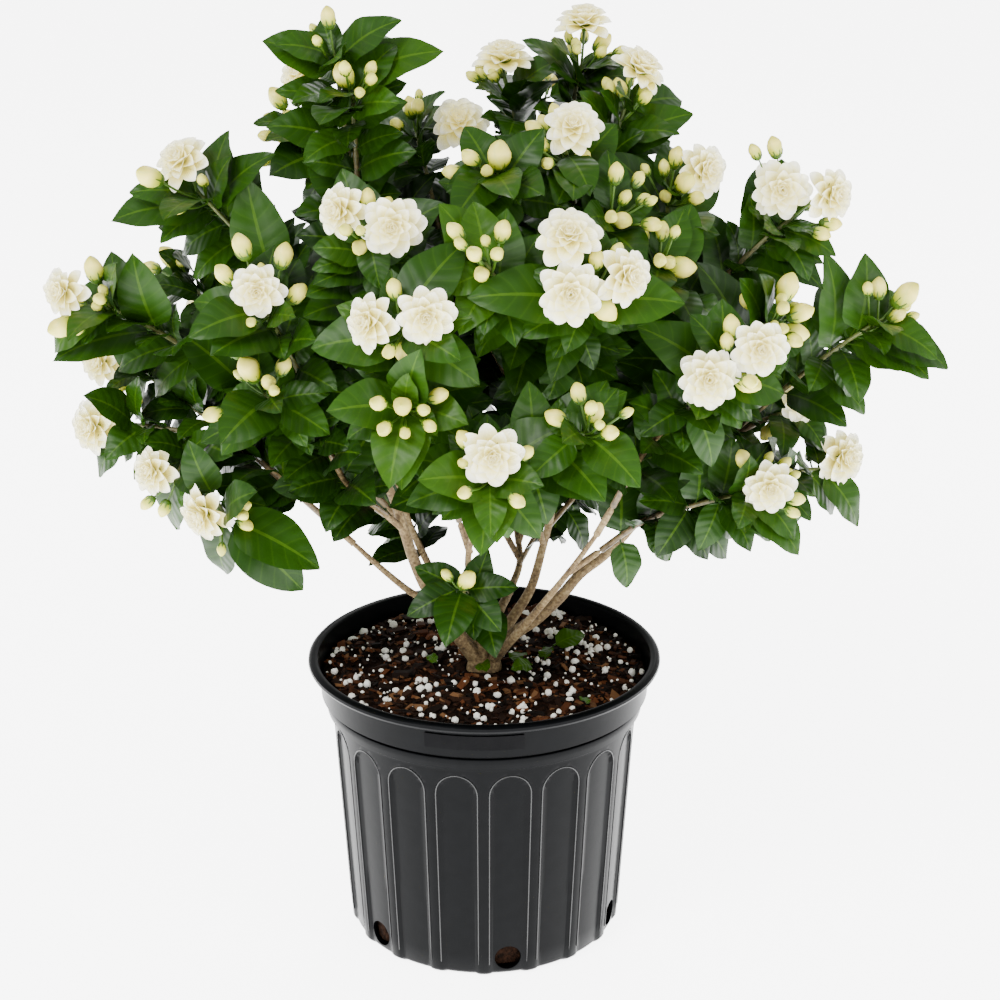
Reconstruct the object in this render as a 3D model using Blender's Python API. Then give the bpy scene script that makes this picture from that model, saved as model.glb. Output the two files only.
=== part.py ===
"""Potted double-flowered jasmine: a black nursery pot, bark and perlite soil, a woody frame of stems,
leafy branches with bud clusters, and the double white blooms.

Row frame: metres, +Z up, origin at the middle of the pot's flat underside, the front of the plant facing -Y.
"""

import math
import random
from collections import namedtuple

import bmesh
import bpy
from mathutils import Vector
from mathutils.bvhtree import BVHTree

# Driving sizes, in metres
POT_HEIGHT = 0.234
RIM_RADIUS = 0.1405
BASE_RADIUS = 0.110
WALL = 0.0025
PANELS = 18
PANEL_DEPTH = 0.0022
PANEL_HALF_ANGLE = math.radians(7.8)
PANEL_EDGE_ANGLE = math.radians(0.9)
FIRST_PANEL = math.radians(10)
DRAIN_HOLES = 6
DRAIN_RADIUS = 0.0105
DRAIN_HEIGHT = 0.0165
SOIL_HEIGHT = 0.208
SOIL_GAP = 0.0005
CROWN_RADIUS = 0.017
CROWN_DEPTH = 0.045
SEAT_GAP = 0.0003
BLOOM_RADIUS = 0.0225
LEAF_THICKNESS = 0.0007
LEAF_CLEARANCE = 0.0016

# The reference picture is 1000 pixels square. These say how it looks at the plant.
PICTURE_FOCAL = 2309.0
PICTURE_MIDDLE = 500.0
VIEW_PITCH = math.radians(20.31)
VIEW_PLACE = Vector((0.0126, -1.691, 0.988))

UP = Vector((0, 0, 1))
FRONT = Vector((0, -1, 0))
BUSH_MIDDLE = Vector((0, 0, 0.44))

# Part of the growth plan: a spray is one flowering shoot. Its head, blooms, buds and leaf tips are read
# off the picture in pixels, and depth is the real distance in metres behind the pot's axis.
Spray = namedtuple("Spray", "name branch head depth blooms buds leaves")
Bloom = namedtuple("Bloom", "node middle facing radius")
Bud = namedtuple("Bud", "node root tip radius")
Leaf = namedtuple("Leaf", "node root tip normal width large")
Stem = namedtuple("Stem", "node points radii")

# Each bloom is (across, down, facing), each bud (across, down, half width), each leaf (along the stem, across, down).
SPRAYS = (
    Spray("low_front", "front", (490, 482), -0.235, ((493, 453, "front"),),
          ((499, 413, 9), (463, 438, 9), (527, 452, 8), (513, 484, 9)),
          ((0.88, 406, 503), (0.86, 541, 538), (0.7, 450, 440), (0.7, 575, 430))),
    Spray("twin", "front_left", (400, 322), -0.215, ((371, 322, "left"), (427, 314, "front")),
          ((394, 287, 9), (402, 353, 9)),
          ((0.86, 480, 384), (0.86, 308, 350), (0.6, 464, 241))),
    Spray("buds_low_left", "front_left", (405, 408), -0.225, (),
          ((386, 399, 7), (403, 399, 11), (440, 395, 9), (431, 413, 8)),
          ((0.8, 346, 438), (0.7, 430, 440))),
    Spray("upper_pair", "upper_left", (370, 232), -0.15, ((341, 211, "left"), (392, 225, "front")),
          ((368, 197, 9), (360, 244, 9)),
          ((0.8, 312, 268), (0.8, 442, 202))),
    Spray("left_front", "left_front", (262, 305), -0.13, ((259, 289, "front"),),
          ((241, 244, 11), (284, 253, 11), (299, 292, 10), (223, 273, 10)),
          ((0.8, 194, 318), (0.7, 330, 330))),
    Spray("buds_left", "left_front", (262, 392), -0.14, (),
          ((231, 342, 12), (249, 363, 13), (284, 364, 9), (266, 387, 8), (242, 399, 9), (215, 404, 9),
           (257, 428, 8)),
          ((0.8, 329, 393), (0.8, 330, 434), (0.6, 200, 440))),
    Spray("left_top", "left_top", (196, 190), -0.03, ((182, 161, "up_left"),),
          ((175, 126, 13), (199, 127, 6), (152, 168, 12)),
          ((0.9, 110, 218), (0.9, 272, 152), (0.88, 225, 128), (0.6, 245, 165), (0.6, 177, 223))),
    Spray("far_left", "left_high", (96, 300), -0.02, ((64, 292, "left"),),
          ((93, 267, 11), (64, 320, 12), (88, 290, 6)),
          ((0.75, 132, 249), (0.75, 51, 358), (0.45, 178, 330))),
    Spray("left_back_buds", "left_high", (186, 275), 0.06, (),
          ((167, 255, 10), (183, 264, 6), (172, 275, 6)),
          ((0.8, 156, 283), (0.6, 240, 262))),
    Spray("left_mid", "left_low", (130, 366), 0.04, ((101, 362, "left"),),
          ((129, 340, 9), (120, 384, 10)),
          ((0.6, 137, 412), (0.6, 180, 335))),
    Spray("left_low", "left_low", (118, 424), 0.01, ((96, 426, "left"),),
          ((138, 400, 6),),
          ((0.75, 96, 464), (0.5, 182, 460))),
    Spray("left_base", "left_low", (176, 478), -0.03, ((155, 470, "left"),),
          ((173, 448, 8),),
          ((0.7, 215, 430), (0.6, 238, 470))),
    Spray("left_base_front", "left_low", (226, 518), -0.07, ((207, 511, "down_left"),),
          ((245, 506, 7), (258, 503, 7)),
          ((0.8, 234, 534), (0.7, 304, 591), (0.7, 340, 572), (0.6, 281, 553))),
    Spray("buds_middle", "front_high", (485, 262), -0.2, (),
          ((454, 230, 9), (482, 226, 8), (503, 229, 10), (474, 244, 9), (491, 247, 7), (481, 270, 9)),
          ((0.8, 437, 282), (0.8, 440, 205))),
    Spray("trio", "front_high", (592, 292), -0.21,
          ((570, 291, "front"), (571, 243, "up_front"), (626, 276, "right")),
          ((605, 309, 13), (597, 258, 9)),
          ((0.85, 464, 292), (0.85, 688, 305), (0.6, 552, 382))),
    Spray("buds_right_mid", "front", (592, 432), -0.22, (),
          ((578, 391, 9), (554, 417, 10), (596, 411, 10), (610, 423, 9), (609, 442, 11)),
          ((0.85, 524, 478), (0.7, 495, 380), (0.6, 640, 400))),
    Spray("star", "top_front", (566, 148), -0.08, ((573, 130, "up_front"),),
          ((533, 128, 9), (539, 142, 9), (583, 157, 9)),
          ((0.8, 519, 153), (0.7, 500, 134), (0.6, 622, 170))),
    Spray("top_middle_buds", "top_front", (486, 168), -0.12, (),
          ((469, 155, 9), (451, 172, 9), (499, 153, 14), (497, 173, 8)),
          ((0.8, 520, 205), (0.6, 440, 180))),
    Spray("tall_left", "top_left", (334, 50), -0.04, (),
          ((328, 15, 9), (317, 33, 6), (343, 28, 6)),
          ((0.92, 263, 39), (0.95, 399, 18), (0.86, 442, 48), (0.74, 405, 81), (0.8, 276, 89),
           (0.68, 267, 124), (0.5, 306, 137), (0.5, 411, 135))),
    Spray("tall_left_buds", "top_left", (352, 92), -0.06, (),
          ((343, 72, 12), (360, 83, 8), (331, 95, 8), (352, 105, 8)), ()),
    Spray("top_back_left", "top_back", (292, 120), 0.07, ((301, 76, "up_left"),),
          ((276, 96, 10), (293, 115, 9), (284, 136, 10), (262, 160, 9), (297, 150, 9)),
          ((0.6, 240, 185),)),
    Spray("top_back_middle", "top_back", (415, 128), 0.08, ((460, 131, "up_front"),),
          ((395, 112, 8), (410, 105, 9), (430, 101, 8), (376, 130, 7), (418, 140, 7)),
          ((0.7, 366, 196),)),
    Spray("top_crown", "top_right", (508, 86), 0.06, ((504, 58, "up"),),
          ((481, 71, 7), (506, 80, 8), (525, 78, 8)),
          ((0.7, 455, 80), (0.6, 547, 95))),
    Spray("top_right", "top_right", (582, 60), 0.05, ((584, 22, "up"),),
          ((565, 40, 7), (604, 41, 9)),
          ((0.85, 524, 38), (0.85, 630, 57), (0.7, 553, 62))),
    Spray("top_right_low", "upper_right", (628, 98), 0.01, ((640, 68, "up_right"),),
          ((613, 73, 7), (619, 87, 9), (648, 90, 9)),
          ((0.85, 696, 112), (0.6, 560, 205))),
    Spray("buds_upper_right", "upper_right", (613, 210), -0.1, (),
          ((616, 171, 9), (604, 199, 6), (626, 196, 7), (601, 184, 7), (623, 217, 10)),
          ((0.7, 612, 260), (0.6, 560, 200))),
    Spray("round_right", "right_top", (668, 192), -0.03, ((704, 170, "right"),),
          ((677, 155, 9), (664, 166, 7), (684, 175, 11), (656, 187, 7), (671, 198, 8)),
          ((0.8, 612, 151), (0.8, 720, 233), (0.6, 710, 142))),
    Spray("right_high", "right_top", (796, 215), -0.02, ((780, 188, "front"), (824, 197, "right")),
          ((754, 150, 7), (774, 145, 9), (833, 224, 9)),
          ((0.62, 709, 113), (0.8, 750, 206), (0.7, 824, 262))),
    Spray("right_far", "right_far", (884, 318), -0.02, (),
          ((879, 286, 9), (908, 293, 13), (892, 302, 7), (899, 314, 8), (865, 316, 5)),
          ((0.72, 829, 253), (0.72, 950, 366), (0.5, 857, 385))),
    Spray("right_cluster", "right_mid", (776, 318), -0.08, (),
          ((788, 285, 13), (746, 300, 8), (766, 289, 8), (803, 312, 11), (753, 316, 8), (797, 333, 12)),
          ((0.7, 700, 262), (0.6, 760, 240))),
    Spray("right_inner_buds", "right_mid", (655, 262), -0.1, (),
          ((621, 239, 8), (654, 267, 6), (683, 267, 13), (672, 294, 6), (716, 256, 8)),
          ((0.8, 640, 262), (0.6, 700, 300))),
    Spray("right_pair", "right_front", (735, 365), -0.16, ((707, 375, "front"), (759, 346, "front")),
          ((731, 324, 10), (718, 337, 6), (693, 345, 7), (748, 384, 11)),
          ((0.85, 632, 330), (0.85, 796, 413), (0.6, 640, 435))),
    Spray("right_low", "right_low", (762, 492), -0.09, ((768, 484, "front"),),
          ((743, 458, 9), (733, 487, 8)),
          ((0.7, 699, 551), (0.65, 739, 558), (0.5, 640, 500), (0.5, 657, 556))),
    Spray("right_upper_tail", "right_far", (794, 410), 0.03, ((801, 396, "front"),),
          ((767, 431, 9),),
          ((0.6, 790, 450),)),
    Spray("low_sprout", "low_sprout", (459, 588), -0.07, (),
          ((446, 574, 6), (468, 576, 10)),
          ((0.8, 518, 587), (0.5, 420, 575))),
    Spray("right_tail", "right_low", (822, 468), 0.02, ((841, 457, "right"),),
          ((816, 445, 6), (831, 481, 8)),
          ((0.7, 818, 497), (0.55, 770, 400))),
)

# Shoots on the far side, which the picture doesn't show: heads in metres, blooms and buds by the same habit.
BACK_SHOOTS = (
    ("back_left", (-0.225, 0.170, 0.470), 1), ("back_left", (-0.110, 0.235, 0.400), 1),
    ("back_right", (0.215, 0.165, 0.430), 1), ("back_right", (0.100, 0.230, 0.400), 0),
    ("back_right", (0.150, 0.205, 0.540), 0), ("back_top", (0.000, 0.245, 0.500), 1),
    ("back_top", (-0.090, 0.190, 0.600), 0), ("back_top", (0.050, 0.165, 0.650), 1),
)

# Woody limbs from the crown up: each is a way through the picture, in pixels, with its depth in metres.
Limb = namedtuple("Limb", "name way radius")
LIMBS = (
    Limb("left_trunk", ((455, 630, -0.005), (443, 605, -0.01), (427, 588, -0.015), (414, 560, -0.02),
                        (404, 530, -0.03), (392, 495, -0.035), (374, 462, -0.04)), 0.0072),
    Limb("right_trunk", ((512, 636, -0.005), (537, 618, -0.005), (560, 597, 0.0), (580, 574, 0.0),
                         (604, 556, 0.0), (628, 532, -0.005), (652, 500, -0.01)), 0.0066),
    Limb("middle_trunk", ((508, 625, 0.02), (530, 590, 0.03), (542, 550, 0.03), (553, 505, 0.03),
                          (560, 450, 0.02)), 0.0056),
    Limb("back_trunk", ((497, 618, 0.03), (510, 590, 0.06), (520, 560, 0.09), (515, 520, 0.12)), 0.0052),
    Limb("front_trunk", ((478, 606, -0.02), (468, 565, -0.05), (474, 525, -0.09)), 0.0046),
    Limb("left_low_limb", ((438, 612, 0.005), (405, 588, 0.0), (374, 562, -0.01), (350, 540, -0.02)), 0.0042),
    Limb("left_thin_limb", ((462, 612, 0.02), (432, 570, 0.03), (412, 530, 0.03), (398, 480, 0.02)), 0.0044),
    Limb("right_thin_limb", ((522, 628, -0.025), (546, 600, -0.045), (572, 568, -0.06), (600, 530, -0.07)), 0.0042),
)

# The branch that each group of sprays grows on: its limb, and how far along it the branch leaves.
BRANCHES = {
    "front": ("front_trunk", 0.97), "front_left": ("front_trunk", 0.8), "low_sprout": ("front_trunk", 0.42),
    "upper_left": ("left_trunk", 0.93), "left_front": ("left_trunk", 0.75), "top_left": ("left_trunk", 0.97),
    "left_low": ("left_low_limb", 0.96), "left_high": ("left_thin_limb", 0.8), "left_top": ("left_thin_limb", 0.97),
    "front_high": ("middle_trunk", 0.75), "top_front": ("middle_trunk", 0.9), "top_back": ("middle_trunk", 0.82),
    "top_right": ("middle_trunk", 0.98), "upper_right": ("middle_trunk", 0.66),
    "right_top": ("right_trunk", 0.92), "right_far": ("right_trunk", 0.82), "right_mid": ("right_trunk", 0.97),
    "right_front": ("right_thin_limb", 0.97), "right_low": ("right_thin_limb", 0.7),
    "back_left": ("back_trunk", 0.75), "back_right": ("back_trunk", 0.85), "back_top": ("back_trunk", 0.97),
}

FACINGS = {
    "front": (0, -1, 0.15), "up": (0, -0.25, 1), "left": (-0.6, -0.8, 0.2), "right": (0.6, -0.8, 0.2),
    "up_left": (-0.45, -0.6, 0.6), "up_right": (0.5, -0.4, 0.8), "up_front": (0, -0.75, 0.65),
    "down_left": (-0.6, -0.7, -0.15),
}


def seen(across, down, depth):
    """The point of the upright plane y = depth that the picture shows at this pixel."""
    right = (across - PICTURE_MIDDLE) / PICTURE_FOCAL
    rise = (PICTURE_MIDDLE - down) / PICTURE_FOCAL
    ahead = math.cos(VIEW_PITCH) + rise * math.sin(VIEW_PITCH)
    climb = rise * math.cos(VIEW_PITCH) - math.sin(VIEW_PITCH)
    reach = (depth - VIEW_PLACE.y) / ahead
    return VIEW_PLACE + Vector((right * reach, ahead * reach, climb * reach))


def metres_per_pixel(point):
    """How much of the plant one pixel of the picture covers at this point."""
    away = point - VIEW_PLACE
    ahead = away.y * math.cos(VIEW_PITCH) - away.z * math.sin(VIEW_PITCH)
    return ahead / PICTURE_FOCAL


def bend(start, lean, end, steps, sway=Vector((0, 0, 0))):
    """A smooth arc from start to end that sets off along lean and is pushed aside by sway on its way."""
    span = (end - start).length
    knee = start + lean.normalized() * span * 0.45 + sway
    knee_end = end + (start - end) * 0.25 + UP * span * 0.06 + sway
    points = []
    for step in range(steps + 1):
        t = step / steps
        s = 1 - t
        points.append(start * s ** 3 + knee * 3 * s * s * t + knee_end * 3 * s * t * t + end * t ** 3)
    return points


def along(points, share):
    """The point and direction at a share of the way along a line of points."""
    place = min(max(share, 0.0), 1.0) * (len(points) - 1)
    index = min(int(place), len(points) - 2)
    a, b = points[index], points[index + 1]
    return a.lerp(b, place - index), (b - a).normalized()


def square_to(axis, wish):
    """The direction nearest wish that is square to axis."""
    flat = wish - axis * wish.dot(axis)
    if flat.length < 1e-6:
        flat = axis.orthogonal()
    return flat.normalized()


def tube(points, radii, sides):
    """A closed tube along the points, as corners and faces."""
    corners, faces = [], []
    side = points[1] - points[0]
    normal = side.orthogonal().normalized()
    for index, point in enumerate(points):
        before = points[max(index - 1, 0)]
        after = points[min(index + 1, len(points) - 1)]
        tangent = (after - before).normalized()
        normal = square_to(tangent, normal)
        across = tangent.cross(normal)
        for k in range(sides):
            turn = 2 * math.pi * k / sides
            corners.append(point + (normal * math.cos(turn) + across * math.sin(turn)) * radii[index])
    for index in range(len(points) - 1):
        for k in range(sides):
            a = index * sides + k
            b = index * sides + (k + 1) % sides
            faces.append((a, b, b + sides, a + sides))
    faces.append(tuple(reversed(range(sides))))
    faces.append(tuple(range(len(corners) - sides, len(corners))))
    return corners, faces


LEAF_ROWS = ((0.36, 1.0), (0.7, 0.68))
SMALL_LEAF_ROWS = ((0.42, 0.98),)
LEAF_FOLD = 0.16
LEAF_ARCH = 0.09
LEAF_STALK = 0.0009
# Faces from the three corners of the leaf stalk to the six of the blade's widest row
STALK_TO_BLADE = ((0, 1, 4), (0, 4, 3), (1, 5, 4), (1, 6, 5), (1, 2, 6), (2, 7, 6), (2, 8, 7), (2, 0, 8), (0, 3, 8))


def leaf_solid(leaf, thickness=LEAF_THICKNESS, grow=0.0, start=0.0):
    """A folded, arched blade on a short three-sided stalk, tapering from its widest row to the tip."""
    run = leaf.tip - leaf.root
    length = run.length
    axis = run / length
    normal = square_to(axis, leaf.normal)
    across = axis.cross(normal)

    def spine(t):
        return leaf.root + run * t + normal * (length * LEAF_ARCH * 4 * t * (1 - t))

    corners = []
    for t in (start, start + 0.09):
        middle = spine(t)
        corners += [middle - across * LEAF_STALK + normal * LEAF_STALK * 0.6,
                    middle + across * LEAF_STALK + normal * LEAF_STALK * 0.6, middle - normal * LEAF_STALK]
    rows = LEAF_ROWS if leaf.large else SMALL_LEAF_ROWS
    for t, share in rows:
        half = leaf.width / 2 * share + grow
        lift = normal * (thickness / 2)
        edge = normal * (half * LEAF_FOLD)
        left, middle, right = spine(t) - across * half + edge, spine(t), spine(t) + across * half + edge
        corners += [left + lift, middle + lift, right + lift, right - lift, middle - lift, left - lift]
    corners.append(spine(1.0) + axis * grow)
    faces = [(2, 1, 0)]
    for k in range(3):
        after = (k + 1) % 3
        faces.append((k, after, after + 3, k + 3))
    faces += [tuple(c + 3 for c in face) for face in STALK_TO_BLADE]
    for k in range(6):
        a, b = 6 + k, 6 + (k + 1) % 6
        if leaf.large:
            faces += [(a, b, b + 6), (a, b + 6, a + 6)]
            a, b = a + 6, b + 6
        faces.append((a, b, len(corners) - 1))
    return corners, faces


BUD_RINGS = ((0.3, 1.0), (0.72, 0.82))
BUD_SIDES = 5
# Faces from the three corners of the bud's stalk to the five of its widest ring
STALK_TO_BUD = ((0, 3, 4), (0, 4, 1), (1, 4, 5), (1, 5, 2), (2, 5, 6), (2, 6, 7), (2, 7, 0), (0, 7, 3))


def bud_solid(bud, grow=1.0, start=0.0):
    """A round bud on a three-sided stalk."""
    run = bud.tip - bud.root
    axis = run.normalized()
    side = axis.orthogonal().normalized()
    across = axis.cross(side)
    bud_length = bud.radius * 2.3
    neck = bud.tip - axis * bud_length
    stalk = min(0.0008, bud.radius * 0.3)
    corners = []

    def ring(middle, radius, sides):
        for k in range(sides):
            turn = 2 * math.pi * k / sides
            corners.append(middle + (side * math.cos(turn) + across * math.sin(turn)) * radius)

    ring(bud.root.lerp(neck, start), stalk, 3)
    ring(neck, stalk * 1.3, 3)
    for t, share in BUD_RINGS:
        ring(neck + axis * bud_length * t, bud.radius * share * grow, BUD_SIDES)
    corners.append(bud.tip)
    faces = [(2, 1, 0)]
    for k in range(3):
        after = (k + 1) % 3
        faces.append((k, after, after + 3, k + 3))
    faces += [tuple(c + 3 for c in face) for face in STALK_TO_BUD]
    for k in range(BUD_SIDES):
        a, b = 6 + k, 6 + (k + 1) % BUD_SIDES
        faces += [(a, b, b + BUD_SIDES, a + BUD_SIDES), (a + BUD_SIDES, b + BUD_SIDES, 6 + 2 * BUD_SIDES)]
    return corners, faces


PETALS = 6
# The bloom's rings above the calyx: share of the radius in line with the outer petals and between them, and height.
BLOOM_RINGS = ((1.0, 0.78, 0.05), (0.56, 0.54, 0.13), (0.6, 0.76, 0.34))
BLOOM_HEART = (0.34, 0.38)
BLOOM_NECK = 0.13
BLOOM_FOOT = -0.30


def bloom_solid(bloom):
    """A double bloom: layers of petals raised one above the other from one closed surface."""
    axis = bloom.facing
    side = axis.orthogonal().normalized()
    across = axis.cross(side)
    columns = PETALS * 2

    def corner(column, radius, height):
        turn = math.pi * column / PETALS
        return bloom.middle + ((side * math.cos(turn) + across * math.sin(turn)) * radius + axis * height) * bloom.radius

    corners = [corner(k, BLOOM_NECK, BLOOM_FOOT) for k in range(0, columns, 2)]
    for at_tip, between, height in BLOOM_RINGS:
        corners += [corner(k, at_tip if k % 2 == 0 else between, height) for k in range(columns)]
    corners += [corner(k, *BLOOM_HEART) for k in range(0, columns, 2)]
    corners.append(corner(0, 0, 0.62))
    faces = [tuple(reversed(range(PETALS)))]
    for k in range(PETALS):
        tip, notch, following = PETALS + 2 * k, PETALS + 2 * k + 1, PETALS + (2 * k + 2) % columns
        neck, next_neck = k, (k + 1) % PETALS
        faces += [(neck, notch, tip), (neck, next_neck, notch), (next_neck, following, notch)]
    for index in range(len(BLOOM_RINGS) - 1):
        for k in range(columns):
            a = PETALS + index * columns + k
            b = PETALS + index * columns + (k + 1) % columns
            faces.append((a, b, b + columns, a + columns))
    last = PETALS + (len(BLOOM_RINGS) - 1) * columns
    heart = last + columns
    for k in range(PETALS):
        notch, tip, following = last + 2 * k, last + 2 * k + 1, last + (2 * k + 2) % columns
        now, after = heart + k, heart + (k + 1) % PETALS
        faces += [(notch, tip, now), (tip, after, now), (tip, following, after), (now, after, len(corners) - 1)]
    return corners, faces


class Claimed:
    """The space that placed pieces already take."""

    def __init__(self):
        self.trees = []

    def add(self, node, shape):
        corners, faces = shape
        middle = sum(corners, Vector()) / len(corners)
        reach = max((c - middle).length for c in corners)
        self.trees.append((node, middle, reach, BVHTree.FromPolygons(corners, faces)))

    def hits(self, shape, leave_out=()):
        corners, faces = shape
        middle = sum(corners, Vector()) / len(corners)
        reach = max((c - middle).length for c in corners)
        tree = None
        for node, other_middle, other_reach, other in self.trees:
            if node in leave_out or (other_middle - middle).length > reach + other_reach:
                continue
            tree = tree or BVHTree.FromPolygons(corners, faces)
            if other.overlap(tree):
                return True
        return False


    def clear(self, node, whole, trimmed):
        """Whether the whole shape misses every other node, and the part away from its root misses its own."""
        return not self.hits(trimmed) and not self.hits(whole, (node,))


STEM_RADIUS = 0.0021
STEM_STEPS = 4
STEM_SIDES = 4
PAIR_SPACING = 0.2
BUD_SHARE = 0.94
FAR_BUDS = 1
SMALLEST_BUD = 8


class Plant:
    """What has been grown so far."""

    def __init__(self):
        self.draw = random.Random(7)
        self.claimed = Claimed()
        self.limbs, self.sockets, self.shoots, self.ways = {}, {}, [], {}
        self.stems, self.blooms, self.buds, self.leaves = [], [], [], []


def list_shoots(plant):
    """Every shoot with the place of its head, the seen ones first."""
    for spray in SPRAYS:
        plant.shoots.append((spray, seen(*spray.head, spray.depth)))
    for index, (branch, place, flowers) in enumerate(BACK_SHOOTS):
        plant.shoots.append((Spray(f"far_{index}", branch, None, flowers, (), (), ()), Vector(place)))


def grow_limbs(plant):
    """The woody limbs, from inside the crown up through the places read off the picture."""
    crown = Vector((0, 0, SOIL_HEIGHT + 0.009))
    for limb in LIMBS:
        way = [crown] + [seen(*point) for point in limb.way]
        radii = [limb.radius * (1 - 0.55 * k / (len(way) - 1)) for k in range(len(way))]
        plant.limbs[limb.name] = way
        plant.stems.append(Stem("wood", way, radii))
        plant.claimed.add("wood", tube(way, [r + 0.0004 for r in radii], STEM_SIDES))


def grow_sockets(plant):
    """A short woody stub for each branch, leaning the way that the branch goes."""
    ahead = []
    for branch, (limb, share) in BRANCHES.items():
        heads = [head for spray, head in plant.shoots if spray.branch == branch]
        middle = sum(heads, Vector()) / len(heads)
        for attempt in range(90):
            start, heading = along(plant.limbs[limb], share + 0.003 * attempt * plant.draw.uniform(-1, 1))
            out = (middle - start).normalized()
            wobble = Vector([plant.draw.uniform(-1, 1) for axis in range(3)]) * 0.015 * attempt
            lean = (out + UP * 0.35 + heading * 0.4 + wobble).normalized()
            end = start + lean * min(0.03, (middle - start).length * 0.2)
            beyond = tube([start + lean * 0.011, end, end + lean * 0.02], [0.0038] * 3, STEM_SIDES)
            if not plant.claimed.hits(beyond):
                break
        else:
            print("no clear socket for", branch)
        plant.stems.append(Stem("wood", [start, end], [0.0031, 0.0027]))
        plant.claimed.add("wood", tube([start, end], [0.0036, 0.0031], STEM_SIDES))
        plant.claimed.add("ahead", tube([end, end + lean * 0.02], [0.003] * 2, STEM_SIDES))
        plant.sockets[branch] = (end, lean)
    plant.claimed.trees = [tree for tree in plant.claimed.trees if tree[0] != "ahead"]


def grow_shoots(plant):
    """A green shoot to each head. The first of a branch starts at its socket, the others fork from it."""
    for spray, head in plant.shoots:
        node = "branch_" + spray.branch
        end, lean = plant.sockets[spray.branch]
        first = spray.branch not in plant.ways
        for attempt in range(60):
            sway = Vector([plant.draw.uniform(-1, 1) for axis in range(3)]) * 0.003 * attempt
            if first:
                start = end + lean * SEAT_GAP
                way = bend(start, lean, head, STEM_STEPS, sway)
                way[1] = way[0] + lean * max((way[1] - way[0]).dot(lean), 0.006)
            else:
                start, heading = along(plant.ways[spray.branch], 0.3)
                way = bend(start, (head - start).normalized() + heading, head, STEM_STEPS - 1, sway)
            radii = [STEM_RADIUS * (1.25 - 0.55 * k / (len(way) - 1)) for k in range(len(way))]
            if not first:
                radii[0] = STEM_RADIUS * 0.8
            clearance = [r + 0.0005 for r in radii]
            beginning = way[0] + (way[1] - way[0]).normalized() * 0.0015
            trimmed = tube([beginning] + way[1:], clearance, STEM_SIDES)
            if not plant.claimed.hits(trimmed, (node,)):
                break
        else:
            print("no clear way for", spray.name)
        plant.stems.append(Stem(node, way, radii))
        plant.claimed.add(node, tube(way, clearance, STEM_SIDES))
        if first:
            plant.ways[spray.branch] = way
        plant.ways[spray.name] = way


def set_blooms(plant):
    """The blooms of each shoot, pushed outward until each is clear, on a stalk that ends just under it."""
    for spray, head in plant.shoots:
        node = "branch_" + spray.branch
        wanted = [(seen(u, v, spray.depth), Vector(FACINGS[face]).normalized()) for u, v, face in spray.blooms]
        if spray.head is None:
            out = (head - BUSH_MIDDLE).normalized()
            wanted = [(head + out * 0.012, (out + UP * 0.3).normalized())] * spray.depth
        for middle, facing in wanted:
            radius = BLOOM_RADIUS * plant.draw.uniform(0.92, 1.08)
            middle = middle + facing * max(0.0, 0.012 - (middle - head).dot(facing))
            for attempt in range(20):
                bloom = Bloom(f"bloom_{len(plant.blooms) + 1:02d}", middle, facing, radius)
                foot = middle - facing * (radius * 0.30 + SEAT_GAP)
                under = foot - facing * 0.005
                start = head - (under - head).normalized() * 0.001
                stalk = Stem(node, [start, under, foot], [0.0009, 0.001, 0.0016])
                body = tube(stalk.points, [r + 0.0003 for r in stalk.radii], 3)
                room = bloom_solid(bloom._replace(radius=radius * 1.03))
                if not plant.claimed.hits(room) and not plant.claimed.hits(body, (node,)):
                    break
                middle = middle + facing * 0.002 + (middle - head).normalized() * 0.0015
                radius = radius * 0.985
            else:
                print("no clear place for a bloom of", spray.name)
            plant.blooms.append(bloom)
            plant.stems.append(stalk)
            plant.claimed.add(bloom.node, room)
            plant.claimed.add(node, body)


def wanted_buds(plant, spray, head):
    """The middle and radius of each bud on a shoot: read off the picture, or by rule on the far side."""
    if spray.head is not None:
        scale = metres_per_pixel(head) * BUD_SHARE
        return [(seen(u, v, spray.depth), half * scale) for u, v, half in spray.buds if half > SMALLEST_BUD]
    out = (head - BUSH_MIDDLE).normalized()
    side = square_to(out, UP)
    around_out = out.cross(side)
    found = []
    for k in range(FAR_BUDS):
        turn = 2.6 * k + plant.draw.uniform(0, 0.5)
        offset = (side * math.cos(turn) + around_out * math.sin(turn)) * 0.028 + out * 0.004
        found.append((head + offset, plant.draw.uniform(0.0045, 0.0062)))
    return found


def set_buds(plant):
    """The larger buds, each on a stalk from the end of its shoot."""
    for spray, head in plant.shoots:
        node = "branch_" + spray.branch
        way = plant.ways[spray.name]
        for index, (middle, radius) in enumerate(wanted_buds(plant, spray, head)):
            root, heading = along(way, 0.97 - 0.035 * index)
            for push in range(8):
                centre = middle + FRONT * 0.005 * push * (1 if middle.y < 0.1 else -1)
                out = (centre - root).normalized()
                if (centre - root).length < radius * 1.8:
                    centre = root + out * radius * 1.8
                bud = Bud(node, root, centre + out * radius * 1.15, radius)
                shape = bud_solid(bud, 1.08)
                if plant.claimed.clear(node, shape, bud_solid(bud, 1.08, 0.4)):
                    plant.buds.append(bud)
                    plant.claimed.add(node, shape)
                    break


def hides_a_flower(plant, shape):
    """Whether the shape crosses a line of sight from the picture's viewpoint to a flower."""
    tree = BVHTree.FromPolygons(*shape)
    flowers = [bloom.middle for bloom in plant.blooms if bloom.facing.y < 0.2]
    flowers += [bud.tip for bud in plant.buds if bud.tip.y < 0.1]
    for flower in flowers:
        line = flower - VIEW_PLACE
        for offset in (Vector((0, 0, 0)), Vector((0.012, 0, 0)), Vector((-0.012, 0, 0)), Vector((0, 0, 0.012))):
            if tree.ray_cast(VIEW_PLACE, (line + offset).normalized(), line.length - 0.02)[0] is not None:
                return True
    return False


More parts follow.
